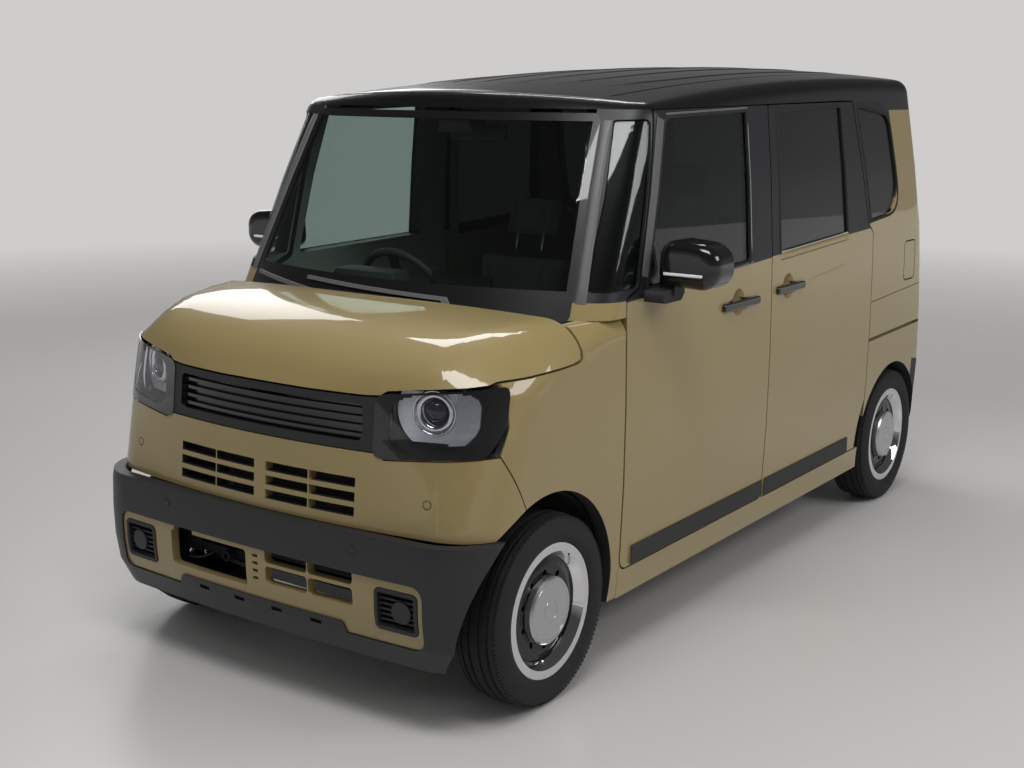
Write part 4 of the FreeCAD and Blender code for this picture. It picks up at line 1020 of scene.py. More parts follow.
    def _rear(self) -> None:
        """Tailgate, bumper and tail lamps."""
        panel("tailgate", [BODY, CABIN], self._inside)
        panel("rear_bumper", [TRIM, UNDER], self._inside)
        panel("tail_lamps", [TAIL_RED, AMBER], lambda centre, normal: int(centre.z < 0.72))
        coat("rear_panel", UNDER)


# ---------------------------------------------------------------- glazing
@dataclass
class Glazing:
    """Panes, their seals and the pillar trims beside the screen.

    Attributes:
        panes: Seal per pane, in side view: name, body stem, corners (y, z, radius).
        margin: How far a seal's middle lies outside its pane.
    """

    panes: tuple = (
        ("front_door_seal", "door_", ((-0.791, 1.132, 0.012), (-0.121, 1.146, 0.012), (-0.121, 1.628, 0.014),
                                      (-0.644, 1.614, 0.025))),
        ("rear_door_seal", "", ((0.117, 1.151, 0.012), (0.700, 1.172, 0.012), (0.653, 1.634, 0.014),
                                (0.117, 1.624, 0.014))),
        ("quarter_seal", "", ((0.937, 1.202, 0.012), (1.234, 1.222, 0.115), (1.131, 1.594, 0.060),
                              (0.819, 1.634, 0.014))),
    )
    margin: float = 0.0065

    def build(self) -> None:
        """Dresses the panes and lays the seals."""
        panel("windshield", [SCREEN_GLASS])
        panel("tailgate_glass", [DARK_GLASS])
        panel("side_glass", [DOOR_GLASS, DARK_GLASS], lambda centre, normal: int(centre.y > 0.0))
        for side in Side:
            panel("front_door_glass_" + side.label, [DOOR_GLASS])
            stems = ("front_door_", "sliding_door_", "side_frame_")
            skin = Skin(["side_glass"] + [stem + side.label for stem in stems])
            self._seals(side, skin)
            self._trims(side, skin)
            self._pillar(side)

    def _seals(self, side: Side, skin: Skin) -> None:
        """The rubber round each side pane.

        Args:
            side: Which side.
            skin: That side's surface.
        """
        sign = side.value
        for name, stem, corners in self.panes:
            centre = (sum(c[0] for c in corners) / 4, sum(c[1] for c in corners) / 4)
            outline = []
            for y, z in rounded(corners):
                away = Vector((y - centre[0], z - centre[1]))
                grown = away * (1.0 + self.margin / away.length)
                outline.append((sign * 0.9, centre[0] + grown.x, centre[1] + grown.y))
            body = stem + side.label if stem else "root"
            Ribbon(f"{name}_{side.label}", skin, along(outline, 0.05, True), (-sign, 0, 0), 0.012, 0.0018, RUBBER,
                   body, closed=True).build()
    def _trims(self, side: Side, skin: Skin) -> None:
        """The straight strips along the belt and round the front pane.

        Args:
            side: Which side.
            skin: That side's surface.
        """
        glazed = Skin(["side_glass", "sliding_door_" + side.label])
        sign, door = side.value, "door_" + side.label
        trims = (("front_belt_strip_", (-0.835, 1.1105), (-0.095, 1.1405), 0.012, 0.003, PIANO, door),
                 ("rear_belt_strip_", (0.120, 1.152), (0.700, 1.1725), 0.009, 0.0090, CHROME, "root"),
                 ("belt_filler_", (0.112, 1.134), (0.706, 1.155), 0.028, 0.0072, BODY, "root"),
                 ("door_frame_trim_", (-0.8035, 1.165), (-0.672, 1.615), 0.046, 0.0015, SATIN, door),
                 ("window_end_trim_", (-0.112, 1.150), (-0.1135, 1.624), 0.006, 0.0025, SILVER, door),
                 ("door_top_trim_", (-0.640, 1.628), (-0.110, 1.640), 0.007, 0.0025, SATIN, door))
        for name, start, end, width, height, look, body in trims:
            line = [(sign * 0.9, start[0] + (end[0] - start[0]) * t, start[1] + (end[1] - start[1]) * t)
                    for t in np.linspace(0.0, 1.0, 24)]
            below = glazed if height > 0.005 else skin
            Ribbon(name + side.label, below, line, (-sign, 0, 0), width, height, look, body).build()

    def _pillar(self, side: Side) -> None:
        """The trim up the side of the screen.

        Args:
            side: Which side.
        """
        skin = Skin(["windshield", "side_frame_" + side.label, "roof_panel"])
        line = [(side.value * (0.649 - 0.071 * t), -1.5, 1.104 + 0.506 * t) for t in np.linspace(0.0, 1.0, 40)]
        Ribbon("pillar_trim_" + side.label, skin, line, (0, 1, 0), 0.032, 0.006, SATIN).build()


# ---------------------------------------------------------------- nose
class NoseForm:
    """The outer surface of the nose, ring by ring in plan."""

    # Height, side inset, front set-back, corner radius, bow radius.
    ROWS = (
        (0.180, 0.024, 0.062, 0.150, 5.000), (0.320, 0.012, 0.045, 0.165, 4.500), (0.560, 0.002, 0.031, 0.180, 3.600),
        (0.800, 0.000, 0.045, 0.200, 2.400), (1.000, 0.003, 0.056, 0.220, 1.750), (1.150, 0.007, 0.084, 0.230, 1.600),
    )

    def _ring(self, z: float) -> tuple[float, ...]:
        """The plan ring at a height.

        Args:
            z: The height.

        Returns:
            Half width, y of the bow's centre, radius of the bow and of the corner, x and y of the corner's
            centre, and the angle at which bow and corner meet.
        """
        table = np.array(self.ROWS)
        inset, back, corner, bow = (float(np.interp(z, table[:, 0], table[:, i])) for i in range(1, 5))
        half, centre = HALF_WIDTH - inset, NOSE_Y + back + bow
        corner_x = half - corner
        corner_y = centre - math.sqrt((bow - corner) ** 2 - corner_x**2)
        return half, centre, bow, corner, corner_x, corner_y, math.asin(corner_x / (bow - corner))

    def at(self, z: float, run: float, depth: float) -> Vector:
        """A point below the skin.

        Args:
            z: Its height.
            run: How far along the skin from the middle it lies.
            depth: How far below the skin it lies.

        Returns:
            The point.
        """
        half, centre, bow, corner, corner_x, corner_y, turn = self._ring(z)
        if run < bow * turn:
            a = run / bow
            return Vector(((bow - depth) * math.sin(a), centre - (bow - depth) * math.cos(a), z))
        a = turn + (run - bow * turn) / corner
        if a < math.pi / 2:
            return Vector((corner_x + (corner - depth) * math.sin(a), corner_y - (corner - depth) * math.cos(a), z))
        return Vector((half - depth, corner_y + (a - math.pi / 2) * corner, z))

    def run_to(self, z: float, y: float) -> float:
        """How far along the skin its corner reaches back to y at height z."""
        _, _, bow, corner, _, corner_y, turn = self._ring(z)
        return bow * turn + corner * (math.acos(min(1.0, max(-1.0, (corner_y - y) / corner))) - turn)


@dataclass
class Nose:
    """Lamps, grille, guard and the details of the front.

    Attributes:
        form: The nose's surface.
        lamp_x: Where the CAD has the middle of a headlamp.
        lamp_z: Its height.
        lamp_turn: How far the lamps look outward.
        lamp_shift: How far the inside of the lamp moves inboard.
        lens_z: Height at which the lens is measured along the skin.
        lens_start: Where the lens starts along the skin.
        lens_corner: Radius of its corners.
        lens_end: Height and y of its outer end.
        lens_low: x and height of its lower edge.
        lens_high: x and height of its upper edge.
        fog_x: Where the fog lamps sit.
        fog_z: Their height.
        sensors: Name stem, node, x, z and finish of each round sensor.
    """

    form: NoseForm = field(default_factory=NoseForm)
    lamp_x: float = 0.580
    lamp_z: float = 0.872
    lamp_turn: float = math.radians(18.0)
    lamp_shift: float = 0.036
    lens_z: float = 0.86
    lens_start: float = 0.390
    lens_corner: float = 0.026
    lens_end: tuple = ((0.741, 0.770, 0.838), (-1.507, -1.496, -1.466))
    lens_low: tuple = ((0.385, 0.725, 0.740), (0.742, 0.772, 0.779))
    lens_high: tuple = ((0.385, 0.735, 0.740), (0.912, 0.951, 0.952))
    fog_x: float = 0.516
    fog_z: float = 0.350
    sensors: tuple = (("guard_sensor_", "bumper_guard", 0.365, 0.500, GUARD),
                      ("bumper_sensor_", "front_bumper", 0.560, 0.640, BODY))

    def build(self) -> None:
        """Dresses the front."""
        self._lamps()
        panel("grille_bar", [TRIM, PIANO], self._grille)
        panel("lower_bumper", [BODY, UNDER], lambda centre, normal: int(normal.y > 0.3))
        panel("bumper_guard", [GUARD])
        panel("skid_plate", [GUARD])
        self._fog_lamps()
        panel("cowl_panel", [TRIM])
        panel("wipers", [SATIN])
        self._sensors()

    @staticmethod
    def _grille(centre: Vector, normal: Vector) -> int:
        """1 on the glossy middle of the grille bar."""
        return int(abs(centre.x) < 0.352 and 0.784 < centre.z < 0.882 and normal.y < 0.2)

    def _lamps(self) -> None:
        """The headlamps: housing, light ring, projector, lens and bezels."""
        way = Vector((math.sin(self.lamp_turn), -math.cos(self.lamp_turn), 0.0))
        middle = Vector((self.lamp_x, NOSE_Y + 0.130, self.lamp_z))

        def choose(centre: Vector, normal: Vector) -> int:
            """0 on the housing, 1 on the light ring, 2 on the projector, 3 on its bowl.

            Args:
                centre: Middle of a face.
                normal: Its facing.

            Returns:
                Number of the finish.
            """
            spot = Vector((abs(centre.x), centre.y, centre.z)) - middle
            front = Vector((normal.x if centre.x > 0 else -normal.x, normal.y, normal.z))
            depth = spot.dot(way)
            radius = (spot - way * depth).length
            if radius < 0.0385 and depth > -0.046:
                return 2
            if 0.057 < radius < 0.1075 and depth > -0.040 and front.dot(way) > 0.3 and centre.z > 0.787:
                return 1
            return 3 if radius < 0.058 else 0

        housing = panel("headlamps", [PIANO, LIGHT_GUIDE, PROJECTOR, REFLECTOR], choose, FOLD_SHARP)
        for vert in housing.data.vertices:
            sign = 1 if vert.co.x > 0 else -1
            spot = Vector((abs(vert.co.x), vert.co.y, vert.co.z)) - middle
            radius = (spot - way * spot.dot(way)).length
            vert.co.x -= sign * self.lamp_shift * min(1.0, max(0.0, (0.160 - radius) / 0.045))
        for side in Side:
            self._lens(side)
            self._bezel(side, middle - Vector((self.lamp_shift, 0, 0)), way)

    def _patch(self, shares: np.ndarray, rises: np.ndarray, depths: tuple[float, float]) -> list[Vector]:
        """Points over the lamp's opening, sheet by sheet.

        Args:
            shares: Places along it, from 0 to 1.
            rises: Places up it, from 0 to 1.
            depths: How far below the skin each sheet lies, outer sheet first.

        Returns:
            The points, row by row.
        """
        points = []
        for depth in depths:
            for rise in rises:
                edge = float(np.interp(0.75 + 0.2 * rise, *self.lens_end))
                short = max(0.0, self.lens_corner - min(rise, 1.0 - rise) * 0.165)
                inset = self.lens_corner - math.sqrt(max(0.0, self.lens_corner**2 - short**2))
                start, last = self.lens_start + inset, self.form.run_to(self.lens_z, edge) - inset * 0.6
                for share in shares:
                    run = start + (last - start) * share
                    x = self.form.at(self.lens_z, run, 0.0).x
                    low, high = float(np.interp(x, *self.lens_low)), float(np.interp(x, *self.lens_high))
                    points.append(self.form.at(low + (high - low) * rise, run, depth))
        return points

    def _sheet(self, name: str, side: Side, spans: tuple[np.ndarray, np.ndarray], depths: tuple[float, float],
               looks: Sequence[Material], choose: Callable[[float, float], int]) -> None:
        """Makes a curved sheet with a thickness over the lamp's opening.

        Args:
            name: Stem of its name.
            side: Which lamp.
            spans: Its places along and up the opening.
            depths: How far below the skin its two faces lie.
            looks: Its finishes.
            choose: The finish number at a place of the opening.
        """
        shares, rises = spans
        points = [Vector((p.x * side.value, p.y, p.z)) for p in self._patch(shares, rises, depths)]
        rows, columns = len(rises), len(shares)
        count = rows * columns
        front = grid_faces(rows, columns)
        rim = list(range(columns)) + [i * columns + columns - 1 for i in range(1, rows)]
        rim += [(rows - 1) * columns + j for j in range(columns - 2, -1, -1)]
        rim += [i * columns for i in range(rows - 2, 0, -1)]
        walls = [[a, b, count + b, count + a] for a, b in zip(rim, rim[1:] + rim[:1])]
        mesh = from_faces(name, points, front + [[count + i for i in reversed(f)] for f in front] + walls)
        picks = [choose((shares[j] + shares[j + 1]) / 2, (rises[i] + rises[i + 1]) / 2)
                 for i in range(rows - 1) for j in range(columns - 1)]
        mesh.polygons.foreach_set("material_index", picks + picks + [0] * len(walls))
        smooth_by_angle(mesh, EDGE_SHARP)
        add_object(name + side.label, mesh, looks, "root")

    def _lens(self, side: Side) -> None:
        """The clear cover with its printed edge, and the bright reflector behind its outer part.

        Args:
            side: Which lamp.
        """
        def clear(share: float, rise: float) -> int:
            """1 on the clear middle of the cover."""
            return int(abs((share - 0.470) / 0.345) ** 3.5 + abs((rise - 0.540) / 0.430) ** 3.5 < 1.0)

        self._sheet("headlamp_lens_", side, (np.linspace(0, 1, 81), np.linspace(0, 1, 33)), (-0.0016, 0.0016),
                    [PIANO, CLEAR_LENS], clear)
        self._sheet("reflector_", side, (np.linspace(0.615, 0.83, 16), np.linspace(0.18, 0.95, 16)), (0.019, 0.021),
                    [REFLECTOR], lambda share, rise: 0)

    @staticmethod
    def _bezel(side: Side, middle: Vector, way: Vector) -> None:
        """The bright rings round the projector and inside the light ring.

        Args:
            side: Which lamp.
            middle: Middle of the left lamp.
            way: Where the left lamp looks.
        """
        place = Matrix.Scale(side.value, 4, (1, 0, 0)) @ facing(middle, way)
        for name, radius, depth, size in (("projector_bezel_", 0.046, -0.026, 0.0085),
                                          ("inner_rim_", 0.0590, -0.018, 0.0030)):
            turns = [2 * math.pi * k / 10 for k in range(10)]
            rows = [(depth + size * math.sin(a), radius + size * math.cos(a)) for a in turns]
            turned_piece(name + side.label, rows, 72, place, CHROME, angle=BEAD_SHARP)

    def _fog_lamps(self) -> None:
        """The fog lamps, each with its lens and core."""
        def choose(centre: Vector, normal: Vector) -> int:
            """1 in the bowl of a fog lamp."""
            return int(math.hypot(abs(centre.x) - self.fog_x, centre.z - self.fog_z) < 0.0305 and normal.y < -0.5)

        panel("fog_lamps", [TRIM, DISH], choose)
        lens = [(0.0, 0.0), (0.0, 0.024), (-0.004, 0.0295), (-0.012, 0.030), (-0.012, 0.0)]
        core = [(0.0, 0.0), (0.0, 0.0145), (-0.003, 0.0170), (-0.008, 0.0175), (-0.008, 0.0)]
        for side in Side:
            x, y = side.value * self.fog_x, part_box("fog_lamps")[0].y + 0.021
            turned_piece("fog_lens_" + side.label, lens, 48, facing((x, y, self.fog_z), (0, -1, 0)), CLEAR_LENS)
            behind = facing((x, y + 0.003, self.fog_z), (0, -1, 0))
            turned_piece("fog_core_" + side.label, core, 40, behind, PROJECTOR)

    def _sensors(self) -> None:
        """Round sensor caps on the guard and the painted bumper."""
        cap = [(-0.002, 0.0), (-0.002, 0.0105), (0.0008, 0.0100), (0.0014, 0.0085), (0.0014, 0.0)]
        rim = [(-0.002, 0.0112), (-0.002, 0.0130), (0.0006, 0.0127), (0.0006, 0.0112)]
        for stem, node, x, z, look in self.sensors:
            skin = Skin([node])
            for side in Side:
                place = facing(*skin.hit((side.value * x, -2.0, z), (0, 1, 0)))
                turned_piece(stem + side.label, cap, 32, place, look)
                turned_piece(f"{stem}{side.label}_rim", rim, 32, place, TRIM, angle=None)


# ---------------------------------------------------------------- mirrors
@dataclass
class Mirrors:
    """Door mirrors with their glass and indicator.

    Attributes:
        corners: Corners of the glass (x, z, radius).
        middle: Its middle (x, z).
    """

    corners: tuple = ((0.760, 1.152, 0.030), (0.912, 1.143, 0.040), (0.912, 1.250, 0.045), (0.768, 1.264, 0.038))
    middle: Row = (0.838, 1.203)

    def build(self) -> None:
        """Dresses both mirrors."""
        for side in Side:
            name = "mirror_" + side.label
            head = panel(name, [PIANO, TRIM], lambda centre, normal: int(centre.z < 1.135), EDGE_SHARP)
            for vert in head.data.vertices:
                vert.co.x = side.value * self.swell(abs(vert.co.x))
            ease(head.data, 0.030, 0.020, 0.55)
            body = "door_" + side.label
            self._glass(side, body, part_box("mirror_" + side.label)[1].y)
            self._indicator(side, body)

    @staticmethod
    def swell(x: float) -> float:
        """Where x moves to, as the head is a little wider than its carrier."""
        return x if x < 0.775 else 0.775 + (x - 0.775) * 1.14

    def _glass(self, side: Side, body: str, back: float) -> None:
        """The pane at the back of the head.

        Args:
            side: Which mirror.
            body: The body it rides on.
            back: Where the head ends.
        """
        outline = rounded(self.corners, 8)
        mid_x, mid_z = self.middle
        points = []
        for share, y in ((1.0, back - 0.006), (1.0, back + 0.0006), (0.97, back + 0.0014), (0.5, back + 0.0014)):
            for x, z in outline:
                across = self.swell(mid_x + (x - mid_x) * share)
                points.append((side.value * across, y, mid_z + (z - mid_z) * share))
        count = len(outline)
        faces = grid_faces(4, count, wrap_columns=True)
        faces += [list(range(count)), [3 * count + i for i in range(count)]]
        mesh = from_faces("mirror_glass", points, faces)
        smooth_by_angle(mesh, math.radians(30.0))
        add_object("mirror_glass_" + side.label, mesh, [MIRROR], body)

    def _indicator(self, side: Side, body: str) -> None:
        """The light strip across the front of the head.

        Args:
            side: Which mirror.
            body: The body it rides on.
        """
        skin = Skin(["mirror_" + side.label])
        line = [(side.value * x, -1.2, 1.176) for x in np.linspace(0.775, 0.912, 24)]
        Ribbon("indicator_" + side.label, skin, line, (0, 1, 0), 0.009, 0.0015, LIGHT_GUIDE, body).build()


# ---------------------------------------------------------------- wheels
@dataclass
class Wheel:
    """One tyre with its tread, and the finishes of its wheel.

    Attributes:
        end: Which axle.
        side: Which side.
        rings: Maker of the tread and the bolts.
        bead: Radius of the tyre's bead.
        wide: Half the tyre's width.
        track: How far the wheel's middle lies from the car's.
        blocks: How many tread blocks go round.
        rows: Name, distance from the middle, width, drop and length of each row of tread blocks.
    """

    end: End
    side: Side
    rings: RingMaker
    bead: float = 0.178
    wide: float = 0.0775
    track: float = 0.6525
    blocks: int = 118
    rows: tuple = (("shoulder", 0.0590, 0.0150, 0.0092, 0.0100), ("rib", 0.0295, 0.0135, 0.0042, 0.0100),
                   ("centre", 0.0, 0.0190, 0.0032, 0.0085))

    @property
    def tag(self) -> str:
        """The axle and side, as in the names of pieces."""
        return f"{self.end.label}_{self.side.label}"

    @property
    def body(self) -> str:
        """The body that the wheel turns with."""
        return self.tag + "_wheel"

    @property
    def centre(self) -> Point:
        """The middle of the wheel."""
        return self.side.value * self.track, self.end.value, TYRE_RADIUS

    def build(self) -> None:
        """Makes the tyre and dresses the wheel."""
        self._tyre()
        self._tread()
        self._wheel()
        self._cap_rings()

    def _tyre(self) -> None:
        """The tyre with its grooves, shoulders, sidewalls and beads."""
        top, wide, bead = TYRE_RADIUS, self.wide, self.bead
        half = [(0.0, top - 0.0005), (0.012, top - 0.0008), (0.013, top - 0.0075), (0.020, top - 0.0075),
                (0.021, top - 0.0012), (0.038, top - 0.0028), (0.039, top - 0.0090), (0.046, top - 0.0095),
                (0.047, top - 0.0040), (0.060, top - 0.0075), (0.0665, top - 0.0130), (0.0720, top - 0.0240),
                (0.0752, top - 0.0330), (0.0770, top - 0.0420), (wide, top - 0.0460), (0.0765, top - 0.0560),
                (0.0772, top - 0.0600), (0.0735, top - 0.0680), (0.0690, bead + 0.0190), (0.0660, bead + 0.0175),
                (0.0600, bead + 0.0160), (0.0560, bead + 0.0020), (0.0300, bead + 0.0010)]
        rows = half + [(-x, r) for x, r in reversed(half[1:])]
        piece = turned_piece(f"tyre_{self.tag}_rubber", rows, 120, Matrix.Translation(self.centre), TYRE, self.body,
                             math.radians(38.0))
        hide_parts("tyre_" + self.tag)

    def _tread(self) -> None:
        """Shoulder, rib and centre blocks round the tyre."""
        cx, cy, cz = self.centre
        for name, x, width, drop, length in self.rows:
            for sign, mark in ((1, "_a"), (-1, "_b")) if x else ((1, ""),):
                self.rings.build(f"tread_{name}_{self.tag}{mark}", self._block(width, length, sign), self.blocks,
                                 TYRE_RADIUS - drop, (cx + sign * x, cy, cz), TYRE, self.body)

    @staticmethod
    def _block(width: float, length: float, sign: int) -> bpy.types.Mesh:
        """A slanted tread block with bevelled edges.

        Args:
            width: Its width across the tyre.
            length: Its length round the tyre.
            sign: Which way it slants.

        Returns:
            Its mesh, as RingMaker.build takes it.
        """
        sheet = bmesh.new()
        bmesh.ops.create_cube(sheet, size=1.0)
        for vert in sheet.verts:
            skew = vert.co.y * 0.0035 * sign
            vert.co = Vector((vert.co.x * 0.006, vert.co.y * width, vert.co.z * length + skew))
        bmesh.ops.bevel(sheet, geom=list(sheet.edges), offset=0.0007, segments=1, affect="EDGES")
        return sheet_mesh("tread_block", sheet)

    def _wheel(self) -> None:
        """The wheel's rim, dish and cap, and its bolts."""
        cx, cy, cz = self.centre
        sign = self.side.value

        def choose(centre: Vector, normal: Vector) -> int:
            """0 on the bright rim, 1 on the cap, 2 on the dish.

            Args:
                centre: Middle of a face.
                normal: Its facing.

            Returns:
                Number of the finish.
            """
            radius = math.hypot(centre.y - cy, centre.z - cz)
            out = (centre.x - cx) * sign
            if out > 0.039 and radius < 0.098:
                return 1
            if out > 0.015 and radius > 0.150:
                return 0
            return 2

        panel("wheel_" + self.tag, [CHROME, SILVER, DISH], choose, math.radians(30.0))
        bolt = turned("bolt", [(0.0, 0.0), (0.0, 0.0085), (0.0035, 0.0080), (0.0045, 0.0060), (0.0045, 0.0)], 6)
        bolt.transform(Matrix.Rotation(math.pi / 2, 4, "Z"))
        if sign < 0:
            bolt.transform(Matrix.Rotation(math.pi, 4, "X"))
        self.rings.build("wheel_bolts_" + self.tag, bolt, 4, 0.050, (cx + sign * 0.0645, cy, cz), DISH, self.body)

    def _cap_rings(self) -> None:
        """The two fine rings pressed into the cap."""
        low, high = self.side.value * 0.0640, self.side.value * 0.0668
        for name, radius, width in (("outer", 0.084, 0.0035), ("inner", 0.030, 0.0030)):
            rows = [(low, radius - width), (high, radius - width * 0.6), (high, radius + width * 0.6),
                    (low, radius + width)]
            turned_piece(f"cap_ring_{name}_{self.tag}", rows, 96, Matrix.Translation(self.centre), SILVER, self.body,
                         BEAD_SHARP)


# ---------------------------------------------------------------- cabin
@dataclass
class Cushion:
    """A padded form, blown up by a short cloth simulation.

    Attributes:
        name: Piece name.
        size: Width, depth and height before it swells.
        place: Its place in the frame.
        cap: The furthest that a point may move.
        crown: Share by which the edges are lower than the middle.
        frames: How long the cloth swells.
        seam: Half the width of a sewn channel.
        sink: Its depth.
    """

    name: str
    size: Point
    place: Matrix
    cap: float = 0.018
    crown: float = 0.18
    frames: int = 20
    seam: float = 0.009
    sink: float = 0.012

    def build(self) -> bpy.types.Object:
        """Makes the piece, with its seams and its simulated swell.

        Returns:
            The piece.
        """
        mesh = self._form()
        mesh = self._inflate(mesh)
        self._channels(mesh)
        mesh.transform(self.place)
        for face in mesh.polygons:
            face.use_smooth = True
        piece = add_object(self.name, mesh, [CLOTH], "root")
        return piece

    def _form(self) -> bpy.types.Mesh:
        """Makes the crowned block that the piece starts from.

        Returns:
            Its mesh.
        """
        sheet = bmesh.new()
        bmesh.ops.create_cube(sheet, size=1.0)
        bmesh.ops.subdivide_edges(sheet, edges=list(sheet.edges), cuts=11, use_grid_fill=True)
        for vert in sheet.verts:
            u, v, w = (2.0 * c for c in vert.co)
            pull = 1.0 - self.crown * (u**4 + v**4) / 2
            side = 1.0 - 0.06 * w**2
            vert.co = Vector((u * self.size[0] * side, v * self.size[1] * side, w * self.size[2] * pull)) / 2
        return sheet_mesh(self.name, sheet)

    def _inflate(self, mesh: bpy.types.Mesh) -> bpy.types.Mesh:
        """Swells a form as cloth under pressure, no further than the cap.

        Args:
            mesh: The form.

        Returns:
            The swollen form.
        """
        scene = bpy.context.scene
        pad = bpy.data.objects.new(self.name + "_sim", mesh)
        scene.collection.objects.link(pad)
        remesh = pad.modifiers.new("voxels", "REMESH")
        remesh.mode, remesh.voxel_size = "VOXEL", 0.011
        bpy.context.view_layer.update()
        pad.data = bpy.data.meshes.new_from_object(pad.evaluated_get(bpy.context.evaluated_depsgraph_get()))
        pad.modifiers.clear()
        rest = np.array([v.co for v in pad.data.vertices])
        cloth = pad.modifiers.new("cloth", "CLOTH")
        cloth.settings.use_pressure, cloth.settings.uniform_pressure_force = True, 4.0
        cloth.settings.effector_weights.gravity = 0.0
        for number in range(self.frames):
            scene.frame_set(number + 1)
        swollen = bpy.data.meshes.new_from_object(pad.evaluated_get(bpy.context.evaluated_depsgraph_get()))
        moved = np.array([v.co for v in swollen.vertices]) - rest
        length = np.maximum(np.linalg.norm(moved, axis=1, keepdims=True), 1e-9)
        held = rest + moved * np.minimum(1.0, self.cap / length)
        swollen.vertices.foreach_set("co", held.astype(np.float32).ravel())
        bpy.data.objects.remove(pad)
        scene.frame_set(1)
        return swollen

    def _channels(self, mesh: bpy.types.Mesh) -> None:
        """Sinks sewn channels across the middle and along both bolsters.

        Args:
            mesh: The form.
        """
        co = np.array([v.co for v in mesh.vertices])
        w, d, h = self.size
        top = np.clip(co[:, 2] / (h / 2), 0.0, 1.0)
        groove = np.zeros(len(co))
        for x in (-0.30 * w, 0.30 * w):
            groove = np.maximum(groove, np.exp(-((co[:, 0] - x) / self.seam) ** 2))
        inner = (np.abs(co[:, 0]) < 0.30 * w).astype(float)
        for y in (-0.16 * d, 0.16 * d):
            groove = np.maximum(groove, inner * np.exp(-((co[:, 1] - y) / self.seam) ** 2))
        co[:, 2] -= self.sink * groove * top
        mesh.vertices.foreach_set("co", co.astype(np.float32).ravel())


@dataclass
class Cabin:
    """Seats, dashboard, steering wheel and the fittings at the screen.

    Attributes:
        front: Name stem, CAD node, x, width, y and base height of the front seats.
        rear: The same for the rear seats.
        lean: How far the backs lean.
    """

    front: tuple = ("front_seat_", "front_seats", 0.335, 0.460, FRONT_AXLE + 0.740, 0.470)
    rear: tuple = ("rear_seat_", "rear_seat", 0.290, 0.520, REAR_AXLE - 0.690, 0.560)
    lean: float = math.radians(-14.5)

    def build(self) -> None:
        """Makes the cabin."""
        panel("dashboard", [CABIN, CABIN_DARK], lambda centre, normal: int(centre.z < 0.86))
        panel("steering_wheel", [CABIN_DARK], None, math.radians(45.0))
        self._seats()
        self._fittings()

    def _seats(self) -> None:
        """Four seats, which stand for the CAD's two rows."""
        first = {}
        for side in Side:
            for stem, node, x, width, y, base in (self.front, self.rear):
                cushion = self._seat(stem + side.label, side.value * x, width, y, base)
                first.setdefault(node, cushion)
        for node, cushion in first.items():
            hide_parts(node)

    def _seat(self, name: str, x: float, width: float, y: float, base: float) -> bpy.types.Object:
        """Cushion, back and head rest on a plastic base.

        Args:
            name: Stem of the names of its pieces.
            x: Place of its middle.
            width: Its width.
            y: Place of its front.
            base: Height of the base.

        Returns:
            The cushion.
        """
        lean = Matrix.Rotation(self.lean, 4, "X")
        upright = Matrix.Rotation(math.pi / 2, 4, "X")
        seat = Cushion(name + "_cushion", (width - 0.03, 0.455, 0.105),
                       Matrix.Translation((x, y + 0.250, base + 0.075))).build()
        Cushion(name + "_back", (width - 0.05, 0.500, 0.085),
                Matrix.Translation((x, y + 0.575, base + 0.360)) @ lean @ upright).build()
        Cushion(name + "_head_rest", (0.225, 0.135, 0.060),
                Matrix.Translation((x, y + 0.690, base + 0.738)) @ lean @ upright, cap=0.010).build()
        soft_block(name + "_base", (width - 0.12, 0.34, 0.20), 0.02, "root", CABIN_DARK,
                   Matrix.Translation((x, y + 0.26, base - 0.085)), 0.06)
        for i, aside in ((1, -0.06), (2, 0.06)):
            soft_block(f"{name}_post_{i}", (0.011, 0.011, 0.100), 0.003, "root", CHROME,
                       Matrix.Translation((x + aside, y + 0.662, base + 0.660)) @ lean)
        return seat

    def _fittings(self) -> None:
        """The camera pod, the mirror, the binnacle and the display."""
        lean = Matrix.Rotation(math.radians(26.0), 4, "X")
        soft_block("camera_pod", (0.150, 0.090, 0.046), 0.014, "root", CABIN_DARK,
                   Matrix.Translation((0.0, -0.735, 1.598)) @ lean, 0.2)
        soft_block("cabin_mirror", (0.225, 0.022, 0.062), 0.009, "root", CABIN_DARK,
                   Matrix.Translation((0.0, -0.640, 1.560)) @ Matrix.Rotation(math.radians(-12), 4, "X"), 0.04)
        soft_block("binnacle", (0.300, 0.120, 0.075), 0.020, "root", CABIN_DARK,
                   Matrix.Translation((-0.330, -0.800, 1.070)), 0.16)
        soft_block("centre_display", (0.245, 0.014, 0.140), 0.006, "root", SCREEN_BLACK,
                   Matrix.Translation((0.0, -0.742, 1.040)) @ Matrix.Rotation(math.radians(-10), 4, "X"))


